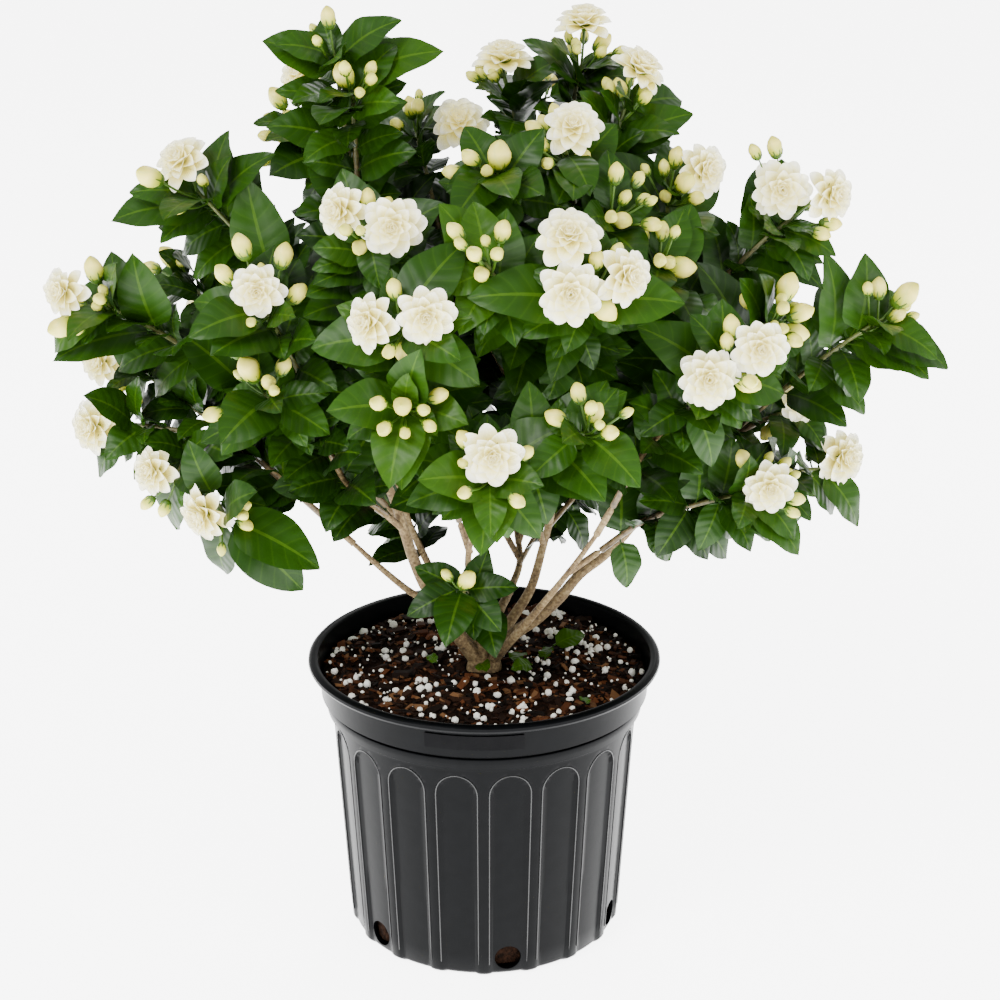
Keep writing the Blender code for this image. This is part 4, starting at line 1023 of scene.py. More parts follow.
# %% The mesh builder
class Fine:
    """Collects corners, faces and the three numbers of each corner, and turns them into one object."""

    def __init__(self):
        self.corners, self.faces, self.marks = [], [], []

    def grid(self, rows, marks, closed=False):
        """Joins rows of points into a sheet, or into a tube when closed."""
        start, wide = len(self.corners), len(rows[0])
        for row, row_marks in zip(rows, marks):
            self.corners += row
            self.marks += row_marks
        for i in range(len(rows) - 1):
            for k in range(wide if closed else wide - 1):
                a, b = start + i * wide + k, start + i * wide + (k + 1) % wide
                self.faces.append((a, b, b + wide, a + wide))

    def make(self, name, material, slot):
        """Makes one smooth object of all that was collected, and ties it to the part."""
        mesh = bpy.data.meshes.new(name)
        mesh.from_pydata([tuple(c) for c in self.corners], [], self.faces)
        layer = mesh.attributes.new("marks", "FLOAT_VECTOR", "POINT")
        for value, mark in zip(layer.data, self.marks):
            value.vector = mark
        mesh.polygons.foreach_set("use_smooth", [True] * len(mesh.polygons))
        mesh.materials.append(material)
        piece = add_object(name, mesh)
        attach(piece, "root")
        return piece


print("mesh builder ready, with", len(Fine().faces), "faces")

# %% Smooth ways
def smooth(points, steps):
    """The points of a curve that passes through all the given points."""
    out = []
    for i in range(len(points) - 1):
        p0, p1, p2 = points[max(i - 1, 0)], points[i], points[i + 1]
        p3 = points[min(i + 2, len(points) - 1)]
        for step in range(steps):
            t = step / steps
            out.append(p1 + (p2 - p0) * (t / 2) + (p0 * 2 - p1 * 5 + p2 * 4 - p3) * (t * t / 2)
                       + (p1 * 3 - p0 - p2 * 3 + p3) * (t ** 3 / 2))
    return out + [points[-1]]


print("two steps a span turn 4 points into", len(smooth([FRONT, UP, FRONT, UP], 2)))

# %% A fine round stem
def fine_stem(fine, points, radii, sides, steps, shade=0.5):
    """A round stem through the points, closed at its far end."""
    way = smooth(points, steps)
    rows, marks = [], []
    normal = (way[1] - way[0]).orthogonal().normalized()
    for i, point in enumerate(way):
        tangent = (way[min(i + 1, len(way) - 1)] - way[max(i - 1, 0)]).normalized()
        normal = square_to(tangent, normal)
        across = tangent.cross(normal)
        place = min(i / steps, len(radii) - 1.001)
        low = int(place)
        radius = radii[low] + (radii[low + 1] - radii[low]) * (place - low)
        if i == len(way) - 1:
            radius *= 0.35
        turns = [2 * math.pi * k / sides for k in range(sides)]
        rows.append([point + (normal * math.cos(a) + across * math.sin(a)) * radius for a in turns])
        marks.append([(i / len(way), k / sides, shade) for k in range(sides)])
    fine.grid(rows, marks, closed=True)


test_stem = Fine()
fine_stem(test_stem, [FRONT, UP], [0.1, 0.1], 6, 2)
print("a six-sided stem of two steps has", len(test_stem.faces), "faces")

# %% [markdown]
# ## Leaves
#
# A jasmine leaf is egg-shaped with a drawn-out tip. It is folded along its midrib, arched along its
# length and a little wavy at its edges. It could be modelled once and copied, but a formula lets each
# one have its own length, width and wave. Leaves deep inside the bush are painted darker, a painted
# shade, and leaves at the outside are paler, partly as young leaves are and partly as painted light.

# %% The fine leaf
LEAF_STEPS = 11
LEAF_ACROSS = (-1.0, -0.72, -0.38, 0.0, 0.38, 0.72, 1.0)
LEAF_MOST_WIDTH = 0.043
LEAF_TIP_DROP = 0.05
LEAF_RIPPLE = 0.0011
BLADE_START = 0.085
LEAF_STALK_RADII = [0.0009, 0.0008, 0.0008]


def fine_leaf(fine, leaf, shade, phase):
    """The blade, widest a little below its middle, and its short stalk."""
    run = leaf.tip - leaf.root
    length = run.length
    axis = run / length
    normal = square_to(axis, leaf.normal)
    across = axis.cross(normal)
    rows, marks = [], []
    for step in range(LEAF_STEPS + 1):
        t = BLADE_START + (1 - BLADE_START) * step / LEAF_STEPS
        x = min(step / LEAF_STEPS, 0.997)
        egg = max(2.42 * x ** 0.5 * (1 - x) ** 0.83, 0.02)
        half = min(leaf.width, LEAF_MOST_WIDTH) / 2 * egg
        arch = LEAF_ARCH * 4 * t * (1 - t) - LEAF_TIP_DROP * t ** 4
        middle = leaf.root + run * t + normal * length * arch
        row = []
        for s in LEAF_ACROSS:
            ripple = LEAF_RIPPLE * math.sin(15 * t + phase + (2.0 if s > 0 else 0)) * s * s
            curl = half * (LEAF_FOLD * 1.3 * abs(s) - 0.10 * s * s)
            row.append(middle + across * (half * s) + normal * (curl + ripple))
        rows.append(row)
        marks.append([(t, s * 0.5 + 0.5, shade) for s in LEAF_ACROSS])
    fine.grid(rows, marks)
    start = leaf.root + run * 0.1 + normal * length * LEAF_ARCH * 0.36
    middle = (leaf.root + start) / 2 - normal * length * 0.004
    fine_stem(fine, [leaf.root, middle, start], LEAF_STALK_RADII, 5, 2, shade)


one_leaf = Fine()
fine_leaf(one_leaf, test_leaf, 0.5, 0.0)
print("a fine leaf has", len(one_leaf.faces), "faces")

# %% Painted shade of a leaf
SHADE_MIDDLE = Vector((0, 0.03, 0.42))
SHADE_REACH = (0.32, 0.27, 0.32)


def leaf_youth_and_painted_shade(leaf):
    """Painted shade: dark deep inside the bush, where shade falls, and pale at its outside, partly as young
    leaves are; with a small draw for each leaf.
    """
    away = (leaf.root + leaf.tip) / 2 - SHADE_MIDDLE
    outer = math.sqrt(sum((way / reach) ** 2 for way, reach in zip(away, SHADE_REACH)))
    return max(0.0, min(1.0, (outer - 0.28) * 0.95 + random_more.uniform(-0.22, 0.22)))


print("leaf shapes ready,", len(leaves), "leaves to make")

# %% [markdown]
# ## Buds and blooms
#
# A bud is a pointed egg of overlapping petals with a slight spiral, held in a small green cup with thin
# sepals. A double bloom is a rosette of rounded petals, flat outside and upright at its heart. Rings of
# equal petals would look stamped, so the petals stand on a spiral and each has its own small draw.

# %% The fine bud
# Share of the way along, then share of the radius
BUD_PROFILE = ((0.0, 0.342), (0.1, 0.57), (0.26, 0.817), (0.45, 0.912), (0.62, 0.8835), (0.78, 0.703),
               (0.9, 0.437), (0.97, 0.209), (1.0, 0.0285))
BUD_LONG = 2.7
BUD_ROUND = 15


def fine_bud(fine, bud, phase):
    """A pointed egg with three slow ridges. A smaller bud is marked as younger."""
    axis = (bud.tip - bud.root).normalized()
    side = axis.orthogonal().normalized()
    across = axis.cross(side)
    long = bud.radius * BUD_LONG
    neck = bud.tip - axis * long
    youth = max(0.0, min(1.0, (0.0062 - bud.radius) / 0.0028))
    rows, marks = [], []
    for t, share in BUD_PROFILE:
        row = []
        for k in range(BUD_ROUND):
            turn = 2 * math.pi * k / BUD_ROUND
            ridge = 1 + 0.07 * math.sin(3 * (turn + 1.8 * t) + phase)
            out = side * math.cos(turn) + across * math.sin(turn)
            row.append(neck + axis * long * t + out * bud.radius * share * ridge)
        rows.append(row)
        marks.append([(t, (k / BUD_ROUND + 0.29 * t) % 1, youth) for k in range(BUD_ROUND)])
    fine.grid(rows, marks, closed=True)


one_bud = Fine()
fine_bud(one_bud, Bud("test", Vector(), UP * 0.02, 0.005), 0.0)
print("a fine bud has", len(one_bud.faces), "faces")

# %% The green cup and sepals under a flower
CUP_ROWS = ((0.0, 0.45), (0.3, 0.8), (1.0, 1.0))
CUP_SIDES = 8
SEPALS = 7
SEPAL_RADII = [0.0007, 0.0006, 0.0003]


def green_cup(fine, foot, axis, cup_radius, cup_height, sepal_length, spread):
    """A small cup with thin sepals that lean out from its edge by the share named spread."""
    side = axis.orthogonal().normalized()
    across = axis.cross(side)
    rows = []
    for t, share in CUP_ROWS:
        middle = foot + axis * cup_height * t
        turns = [2 * math.pi * k / CUP_SIDES for k in range(CUP_SIDES)]
        rows.append([middle + (side * math.cos(a) + across * math.sin(a)) * cup_radius * share
                     for a in turns])
    fine.grid(rows, [[(0.5, 0.5, 0.0)] * CUP_SIDES] * len(CUP_ROWS), closed=True)
    for k in range(SEPALS):
        turn = 2 * math.pi * k / SEPALS
        out = side * math.cos(turn) + across * math.sin(turn)
        root = foot + axis * cup_height * 0.8 + out * cup_radius * 0.9
        tip = root + (axis * (1 - spread) + out * spread).normalized() * sepal_length
        knee = root.lerp(tip, 0.5) + out * sepal_length * 0.1
        fine_stem(fine, [root, knee, tip], SEPAL_RADII, 4, 1, 0.0)


print("a cup has", SEPALS, "sepals")

# %% One petal
PETAL_STEPS = (0, 0.2, 0.4, 0.6, 0.74, 0.85, 0.93, 0.98, 1.0)
PETAL_ACROSS = (-1, -0.6, -0.2, 0.2, 0.6, 1)
PETAL_SHOULDER = 0.62
PETAL_TIP = 0.382


def petal_half(v):
    """The petal's half width at a share of its length: it swells to its shoulder, then rounds off."""
    swell = 0.25 + 0.75 * math.sin(math.pi * 0.5 * min(1, v / PETAL_SHOULDER))
    past = max(v - PETAL_SHOULDER, 0) / PETAL_TIP
    return swell * math.sqrt(max(0.0, 1 - past ** 2))


def fine_petal(fine, foot, out, up, length, width, rise, curl, cup, shade):
    """A rounded petal from its foot: it rises by an angle, and curls outward at its tip."""
    along_petal = (out * math.cos(rise) + up * math.sin(rise)).normalized()
    normal = square_to(along_petal, up * math.cos(rise) - out * math.sin(rise))
    across = along_petal.cross(normal)
    rows, marks = [], []
    for v in PETAL_STEPS:
        half = width / 2 * petal_half(v)
        bend_back = -curl * v * v * length
        row = []
        for s in PETAL_ACROSS:
            hollow = cup * half * s * s * (0.6 + 0.4 * v)
            row.append(foot + along_petal * length * v + across * half * s + normal * (bend_back + hollow))
        rows.append(row)
        marks.append([(v, s * 0.5 + 0.5, shade) for s in PETAL_ACROSS])
    fine.grid(rows, marks)


print("a petal is widest at", PETAL_SHOULDER, "of its length")

# %% The fine bloom
FINE_PETALS = 42
PETAL_TURN = 2.4
HEART_LEAN = 97


def fine_bloom(fine, bloom, draw):
    """Petals on a spiral, from long wide level ones outside to short hollow upright ones at the heart."""
    axis = bloom.facing
    side = axis.orthogonal().normalized()
    across = axis.cross(side)
    for k in range(FINE_PETALS):
        share = k / (FINE_PETALS - 1)  # 0 outside, 1 at the heart
        turn = k * PETAL_TURN + draw.uniform(-0.12, 0.12)
        out = side * math.cos(turn) + across * math.sin(turn)
        lean = math.radians(HEART_LEAN * share ** 0.95 + draw.uniform(-7, 7))
        foot = bloom.middle + (axis * (0.34 * share - 0.20) + out * 0.05) * bloom.radius
        length = bloom.radius * (1.0 - 0.64 * share) * draw.uniform(0.92, 1.03)
        width = bloom.radius * (0.60 - 0.28 * share) * draw.uniform(0.88, 1.1)
        curl = 0.10 + 0.6 * share * (1 - share)
        fine_petal(fine, foot, out, axis, length, width, lean, curl, 0.42 + 0.7 * share, share)


print("a bloom has", FINE_PETALS, "petals")

# %% [markdown]
# ## Materials
#
# A finish could be an image wrapped round the shape, but an image has one size and a seam. Every finish
# here is a small graph of nodes instead, which fits any leaf. The helpers below add a node or two each,
# so that a finish reads like a sum.

# %% Starting a material
def new_material(name, roughness):
    """A material with its node tree and its main shader."""
    material = bpy.data.materials.new(name)
    material.use_nodes = True
    tree = material.node_tree
    shader = tree.nodes["Principled BSDF"]
    shader.inputs["Roughness"].default_value = roughness
    return material, tree, shader


def ramp(tree, stops, factor):
    """A run of colours, each at its own place from 0 to 1."""
    node = tree.nodes.new("ShaderNodeValToRGB")
    while len(node.color_ramp.elements) < len(stops):
        node.color_ramp.elements.new(0.5)
    for element, (place, colour) in zip(node.color_ramp.elements, stops):
        element.position = place
        element.color = (*colour, 1)
    tree.links.new(factor, node.inputs["Fac"])
    return node.outputs[0]


# %% Small helpers for material graphs
def maths(tree, operation, a, b=None):
    """One sum of two values, where each is a number or the output of another node."""
    node = tree.nodes.new("ShaderNodeMath")
    node.operation = operation
    for socket, value in zip(node.inputs, (a, b)):
        if value is None:
            continue
        if isinstance(value, (int, float)):
            socket.default_value = value
        else:
            tree.links.new(value, socket)
    return node.outputs[0]


def marks_of(tree):
    """The three numbers stored at each corner of a fine mesh."""
    attribute = tree.nodes.new("ShaderNodeAttribute")
    attribute.attribute_name = "marks"
    split = tree.nodes.new("ShaderNodeSeparateXYZ")
    tree.links.new(attribute.outputs["Vector"], split.inputs[0])
    return split.outputs


def mixed(tree, factor, a, b):
    """Colour a at a factor of 0, colour b at 1."""
    node = tree.nodes.new("ShaderNodeMix")
    node.data_type = "RGBA"
    for socket, value in ((node.inputs[0], factor), (node.inputs[6], a), (node.inputs[7], b)):
        if isinstance(value, tuple):
            socket.default_value = (*value, 1)
        elif isinstance(value, (int, float)):
            socket.default_value = value
        else:
            tree.links.new(value, socket)
    return node.outputs[2]


def noise(tree, scale, detail=3.0):
    """A cloudy pattern fixed to the object, with this many waves to the metre."""
    place = tree.nodes.new("ShaderNodeTexCoord")
    node = tree.nodes.new("ShaderNodeTexNoise")
    node.inputs["Scale"].default_value = scale
    node.inputs["Detail"].default_value = detail
    tree.links.new(place.outputs["Object"], node.inputs["Vector"])
    return node.outputs[0]


def bump(tree, shader, height, distance, strength=1.0):
    """Lights the surface as if it were raised by the height, up to the distance in metres."""
    node = tree.nodes.new("ShaderNodeBump")
    node.inputs["Distance"].default_value = distance
    node.inputs["Strength"].default_value = strength
    tree.links.new(height, node.inputs["Height"])
    tree.links.new(node.outputs[0], shader.inputs["Normal"])


print("material helpers ready,", len(bpy.data.materials), "materials so far")

# %% [markdown]
# ## Leaf finish
#
# A jasmine leaf is a deep glossy green, paler when young, with a pale midrib and side veins that slant
# to the tip. Deep in the bush a leaf is painted darker, a painted shade. A plain green would look like
# plastic. The marks say where on the leaf a point is, so the rib is a narrow band at its middle and the
# veins are a wave along it.

# %% Leaf finish
def leaf_material():
    """A leaf is darker or paler by its mark: painted shade darkens it deep in the bush, and it is paler
    outside, partly as young leaves are; with a rib, veins and small patches.
    """
    material, tree, shader = new_material("leaf_green", 0.40)
    length, width, shade = marks_of(tree)
    off_rib = maths(tree, "ABSOLUTE", maths(tree, "SUBTRACT", width, 0.5))
    rib = maths(tree, "LESS_THAN", off_rib, 0.03)
    slant = maths(tree, "SUBTRACT", length, maths(tree, "MULTIPLY", off_rib, 0.32))
    wave = maths(tree, "SINE", maths(tree, "MULTIPLY", slant, 2 * math.pi * 7))
    vein = maths(tree, "POWER", maths(tree, "MAXIMUM", wave, 0.0), 10.0)
    patchy = maths(tree, "MULTIPLY_ADD", noise(tree, 38.0), 0.3)
    patchy.node.inputs[2].default_value = -0.15
    # Painted shade: the shade mark makes leaves deep in the bush darker and outer ones paler, partly as
    # young leaves are.
    tone = maths(tree, "ADD", shade, patchy)
    green = ramp(tree, ((0.0, (0.003, 0.014, 0.0004)), (0.4, (0.009, 0.036, 0.0005)),
                        (0.75, (0.014, 0.050, 0.0003)), (1.0, (0.028, 0.078, 0.0003))), tone)
    veined = mixed(tree, maths(tree, "MULTIPLY", vein, 0.10), green, (0.06, 0.14, 0.004))
    ribbed = mixed(tree, maths(tree, "MULTIPLY", rib, 0.32), veined, (0.08, 0.17, 0.006))
    tree.links.new(ribbed, shader.inputs["Base Color"])
    shader.inputs["Specular IOR Level"].default_value = 0.17
    bump(tree, shader, maths(tree, "MULTIPLY", wave, -0.5), 0.0002)
    return material


leaf_green = leaf_material()
print("leaf finish", leaf_green.name)

# %% [markdown]
# ## Petal and bud finishes
#
# A petal is cream at its foot and white at its tip, and light comes through it. Following that light
# through thin sheets is slow, so a little scattering and a weak glow of its own colour stand in for it.
# Its dark yellow foot and the cream heart of the bloom are partly its own colour and partly painted shade
# where the petals overlap. A bud is cream with a green foot, and greener when young. A darker curved
# line shows where its petals overlap.

# %% Petal finish
def petal_material():
    """Cream to white along the petal, and creamier towards the heart of the bloom: partly the petal's own
    colour, partly painted shade where the petals overlap.
    """
    material, tree, shader = new_material("petal_white", 0.5)
    length, width, layer = marks_of(tree)
    # The dark yellow foot of each petal is partly its own cream and partly painted shade under the petals
    # above it.
    white = ramp(tree, ((0.0, (0.42, 0.37, 0.04)), (0.5, (0.76, 0.68, 0.22)), (0.75, (0.94, 0.91, 0.58)),
                         (0.95, (1.0, 1.0, 0.88))), length)
    # Painted shade: the inner petals are painted creamier, over their own cream.
    heart = maths(tree, "MULTIPLY", maths(tree, "POWER", layer, 1.5), 0.6)
    colour = mixed(tree, heart, white, (0.92, 0.82, 0.32))
    tree.links.new(colour, shader.inputs["Base Color"])
    tree.links.new(colour, shader.inputs["Emission Color"])
    shader.inputs["Emission Strength"].default_value = 0.33
    lines = maths(tree, "SINE", maths(tree, "MULTIPLY", width, 60.0))
    bump(tree, shader, lines, 0.0002, 0.4)
    shader.inputs["Subsurface Weight"].default_value = 0.25
    shader.inputs["Subsurface Radius"].default_value = (0.004, 0.004, 0.003)
    shader.inputs["Subsurface Scale"].default_value = 1.0
    return material


petal_white = petal_material()
print("petal finish", petal_white.name)

# %% Bud finish
def bud_material():
    """Green to cream along the bud, with three curved lines round it."""
    material, tree, shader = new_material("bud_cream", 0.42)
    length, spiral, shade = marks_of(tree)
    cream = ramp(tree, ((0.0, (0.08, 0.18, 0.004)), (0.36, (0.46, 0.48, 0.03)), (0.7, (0.82, 0.71, 0.15)),
                        (1.0, (0.55, 0.52, 0.05))), length)
    young = mixed(tree, maths(tree, "MULTIPLY", shade, 0.45), cream, (0.42, 0.50, 0.05))
    wave = maths(tree, "SINE", maths(tree, "MULTIPLY", spiral, 6 * math.pi))
    edge = maths(tree, "POWER", maths(tree, "MAXIMUM", wave, 0.0), 14.0)
    tree.links.new(mixed(tree, maths(tree, "MULTIPLY", edge, 0.35), young, (0.50, 0.55, 0.16)),
                   shader.inputs["Base Color"])
    return material


bud_cream = bud_material()
print("bud finish", bud_cream.name)

# %% [markdown]
# ## Stem and bark finishes
#
# Young stems and stalks are green, and a shoot turns brown where it is old and thick. Two materials with
# a seam between them would show a hard ring. So one material mixes both colours by the mark of a thick
# stem, and fades to green along it. Old wood is grey-brown and rough, with a fine grain and broad
# patches.

# %% Stem finish
def stem_material():
    """Green, and brown near the root of a thick stem."""
    material, tree, shader = new_material("stem_green", 0.5)
    along_stem, around_stem, thick = marks_of(tree)
    green = ramp(tree, ((0.3, (0.025, 0.075, 0.002)), (0.7, (0.06, 0.13, 0.004))), noise(tree, 60.0))
    brown = ramp(tree, ((0.35, (0.05, 0.032, 0.011)), (0.65, (0.16, 0.11, 0.045))), noise(tree, 300.0))
    near_root = maths(tree, "SUBTRACT", 1.4, maths(tree, "MULTIPLY", along_stem, 1.2))
    woody = maths(tree, "MULTIPLY", thick, near_root)
    woody.node.use_clamp = True
    tree.links.new(mixed(tree, woody, green, brown), shader.inputs["Base Color"])
    return material


stem_green = stem_material()
print("stem finish", stem_green.name)

# %% Bark finish
def bark_material():
    """Grey-brown, with a fine grain over broad patches."""
    material, tree, shader = new_material("bark", 0.85)
    grain = noise(tree, 420.0, 4.0)
    patch = noise(tree, 45.0, 3.0)
    both = maths(tree, "ADD", maths(tree, "MULTIPLY", grain, 0.6), maths(tree, "MULTIPLY", patch, 0.4))
    colour = ramp(tree, ((0.36, (0.055, 0.032, 0.012)), (0.5, (0.15, 0.098, 0.040)),
                         (0.64, (0.27, 0.20, 0.095))), both)
    tree.links.new(colour, shader.inputs["Base Color"])
    bump(tree, shader, grain, 0.0008)
    return material


bark = bark_material()
print("bark finish", bark.name)

# %% [markdown]
# ## Pot, label and soil finishes
#
# The pot is black moulded plastic with a soft shine. The thin raised lines round its panels are painted a
# little paler, a painted highlight where the panel edges catch the light. The label is a dull dark sticker.
# The mix is nearly black between brown bark chips of many tones and white perlite. These are plain
# finishes, so one function makes them all: two close tones of a colour, a roughness and a grain.

# %% Pot, label and soil finishes
def plain_noise_material(name, dark, light, roughness, scale, height, shine=None):
    """Two tones of a grain. A height of 0 leaves it smooth, and no shine leaves the usual one."""
    material, tree, shader = new_material(name, roughness)
    grain = noise(tree, scale, 5.0)
    tree.links.new(ramp(tree, ((0.35, dark), (0.65, light)), grain), shader.inputs["Base Color"])
    if height:
        bump(tree, shader, grain, height)
    if shine is not None:
        shader.inputs["Specular IOR Level"].default_value = shine
    return material


pot_plastic = plain_noise_material("pot_plastic", (0.0006, 0.0008, 0.0011), (0.0012, 0.0014, 0.0018),
                                   0.32, 90.0, 0.0001, 0.05)
# Painted highlight: the panel lines are a little paler than the pot.
pot_edge_highlight = plain_noise_material("pot_edge_highlight", (0.0014, 0.0016, 0.0018), (0.0028, 0.003, 0.0034),
                                0.42, 90.0, 0)
label_paper = plain_noise_material("label_paper", (0.0020, 0.0020, 0.0024), (0.003, 0.003, 0.0034),
                                   0.55, 60.0, 0, 0.03)
soil_mix = plain_noise_material("soil_mix", (0.003, 0.0015, 0.0008), (0.014, 0.006, 0.003),
                                0.95, 260.0, 0.002, 0.05)
perlite_white = plain_noise_material("perlite_white", (0.80, 0.77, 0.68), (0.97, 0.95, 0.88),
                                     0.9, 400.0, 0.0005)
print("plain finishes", pot_plastic.name, pot_edge_highlight.name, label_paper.name, soil_mix.name)

# %% Bark chip finish
def chip_material():
    """Each chip has its own tone, from nearly black to red-brown, with a little grain."""
    material, tree, shader = new_material("chip_bark", 0.8)
    shader.inputs["Specular IOR Level"].default_value = 0.12
    grain = maths(tree, "MULTIPLY", noise(tree, 160.0), 0.35)
    tone = maths(tree, "ADD", marks_of(tree)[2], grain)
    colour = ramp(tree, ((0.2, (0.003, 0.0014, 0.0006)), (0.6, (0.020, 0.007, 0.0025)),
                         (0.95, (0.085, 0.026, 0.008)), (1.0, (0.13, 0.060, 0.024))), tone)
    tree.links.new(colour, shader.inputs["Base Color"])
    return material


chip_bark = chip_material()
print("chip finish", chip_bark.name)

# %% [markdown]
# ## Making the branches and flowers
#
# A branch on the real plant is leaves, green stems and buds. Each leaf could be an object of its own,
# but two thousand objects are slow to handle. So a branch has one object for its leaves, one for its
# stems, stalks and cups, and one for its buds. The leaves take the place of the CAD branch. Each bloom is
# one object of many petals, and takes the place of the CAD bloom.

# %% A bud with its stalk and cup
BUD_STALK_RADII = [0.0009, 0.0008, 0.0010]


def add_bud(green, cream, bud, phase):
    """The stalk and the cup join the green pieces, and the bud itself joins the cream ones."""
    axis = (bud.tip - bud.root).normalized()
    neck = bud.tip - axis * bud.radius * BUD_LONG
    stalk_bend = bud.root.lerp(neck, 0.5) - UP * 0.002
    fine_stem(green, [bud.root, stalk_bend, neck + axis * 0.001], BUD_STALK_RADII, 6, 3, 0.0)
    cup_radius, cup_height, sepal = bud.radius * 0.72, bud.radius * 0.55, bud.radius * 1.1
    green_cup(green, neck - axis * 0.001, axis, cup_radius, cup_height, sepal, 0.12)
    fine_bud(cream, bud, phase)


print(len(buds), "buds to make")

# %% The green cup under a bloom
def owner_of(bloom):
    """The branch whose shoot ends nearest to the bloom. A shoot is a stem of three points."""
    shoots = [stem for stem in stems if len(stem.points) == 3 and stem.node != "wood"]
    return min(shoots, key=lambda stem: (stem.points[-1] - bloom.middle).length).node


def add_bloom_cup(green, bloom):
    """The cup of an open bloom has long sepals that spread."""
    foot = bloom.middle - bloom.facing * bloom.radius * 0.3
    cup_radius, cup_height, sepal = bloom.radius * 0.16, bloom.radius * 0.26, bloom.radius * 0.4
    green_cup(green, foot, bloom.facing, cup_radius, cup_height, sepal, 0.55)


print("the first bloom sits on", owner_of(blooms[0]))

# %% Leaves, stems and buds of every branch
THICK_STEM = 0.0021
branch_nodes = sorted({stem.node for stem in stems} - {"wood"})
for node in branch_nodes:
    name = node.replace("branch_", "")
    leafage, green, cream = Fine(), Fine(), Fine()
    for leaf in [leaf for leaf in leaves if leaf.node == node]:
        fine_leaf(leafage, leaf, leaf_youth_and_painted_shade(leaf), random_more.uniform(0, 6))
    for stem in [stem for stem in stems if stem.node == node]:
        fine_stem(green, stem.points, stem.radii, 7, 4, 1.0 if max(stem.radii) > THICK_STEM else 0.0)
    for bud in [bud for bud in buds if bud.node == node]:
        add_bud(green, cream, bud, random_more.uniform(0, 6))
    leaf_piece = leafage.make("leaves_" + name, leaf_green, "leaf_green")
    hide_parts(node)
    for bloom in [bloom for bloom in blooms if owner_of(bloom) == node]:
        add_bloom_cup(green, bloom)
    green.make("stems_" + name, stem_green, "leaf_green")
    if cream.faces:
        cream.make("buds_" + name, bud_cream, "petal_white")
print(len(branch_nodes), "branches made")

# %% Every bloom
petal_draw = random.Random(5)
for bloom in blooms:
    petals = Fine()
    fine_bloom(petals, bloom, petal_draw)
    piece = petals.make("petals_" + bloom.node, petal_white, "petal_white")
    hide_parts(bloom.node)
print(len(blooms), "blooms made")

# %% [markdown]
# ## Wood
#
# The plant has a short thick crown with thin trunks that fork from it. The limbs could be joined with
# blends, but at this size the bark hides a fork. So each limb is a smooth tube that starts inside the
# crown, each stub for a branch starts inside its limb, and the crown stands in its hole in the soil.

# %% The woody frame
wood = Fine()
crown_top = SOIL_HEIGHT + 0.021
crown_heights = (SOIL_HEIGHT - CROWN_DEPTH + SOIL_GAP, SOIL_HEIGHT, crown_top)
crown_radii = [CROWN_RADIUS * share for share in (0.8, 0.95, 0.7)]
fine_stem(wood, [Vector((0, 0, height)) for height in crown_heights], crown_radii, 16, 6)
for stem in stems:
    if stem.node == "wood":
        fine_stem(wood, stem.points, [radius * 0.9 for radius in stem.radii], 12, 6)
wood_piece = wood.make("woody_frame", bark, "bark")
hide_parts("wood")
print("wood has", len(wood.faces), "faces")

# %% [markdown]
# ## Pot
#
# A nursery pot is blown or moulded in one thin piece. Its wall has sunk panels with straight sides and a
# round arch on top, and above them are a groove, a collar and a rolled rim. Cutting each panel out would
# leave hard edges. So the wall is a grid whose radius follows a formula: it dips a little inside each
# panel, with a rounded edge. The collar and rim are turned from a profile. The arch tops and the groove
# sit about 3 mm lower than in the CAD solid, which matches the picture better.

# %% How deep the wall is sunk
def sunk(turn, height):
    """How far the wall is sunk at this turn and height, in metres."""
    pitch = 2 * math.pi / PANELS
    off = (turn - FIRST_PANEL + pitch / 2) % pitch - pitch / 2
    half = PANEL_HALF_ANGLE
    rise = max(0.0, (height - ARCH_START) / (ARCH_TOP - ARCH_START))
    inside = half * math.sqrt(max(0.0, 1 - rise * rise)) - abs(off)
    share = max(0.0, min(1.0, inside / PANEL_EDGE_ANGLE))
    return PANEL_DEPTH * share * share * (3 - 2 * share)


# %% The pot's profile
FOOT = (0.0, BASE_RADIUS - 0.005)
FOOT_TOP = (0.005, BASE_RADIUS)
ARCH_START = 0.165
ARCH_TOP = 0.1825
WALL_TOP = (0.1895, 0.1215)
FLOOR_THICKNESS = 0.003
# Height and radius, from the groove over the collar and the rolled rim, then down the inside
COLLAR_PROFILE = ((0.1898, 0.1217), (0.1902, 0.1252), (0.1909, 0.1262), (0.1950, 0.1270), (0.1990, 0.1276),
                  (0.2000, 0.1272), (0.2005, 0.1256), (0.2025, 0.1256), (0.2030, 0.1292), (0.2039, 0.1307),
                  (0.2170, 0.1316), (0.2260, 0.1325), (0.2266, 0.1340), (0.2270, 0.1378), (0.2280, 0.1397),
                  (0.2298, 0.1406), (0.2318, 0.1403), (0.2332, 0.1390), (0.2339, 0.1370), (0.2336, 0.1348),
                  (0.2322, 0.1330), (0.2300, 0.1322), (0.2080, 0.1285), (0.2040, 0.1225), (0.1930, 0.1190))
TURNS = 288
ARCH_STEP = 0.00125
ABOVE_ARCHES = 0.186


def fine_wall_radius(height):
    """The outside of the wall between two panels: a rounded foot, then a straight taper."""
    if height <= FOOT_TOP[0]:
        share = height / FOOT_TOP[0]
        return FOOT[1] + (FOOT_TOP[1] - FOOT[1]) * math.sin(share * math.pi / 2)
    share = (height - FOOT_TOP[0]) / (WALL_TOP[0] - FOOT_TOP[0])
    return BASE_RADIUS + (WALL_TOP[1] - BASE_RADIUS) * share


print("0.1 m up, the wall is", round(fine_wall_radius(0.1), 4), "m from the axis")

# %% The pot
def around(radius, turn, height):
    """A point at a turn from the front, counted towards +X."""
    return Vector((radius * math.sin(turn), -radius * math.cos(turn), height))


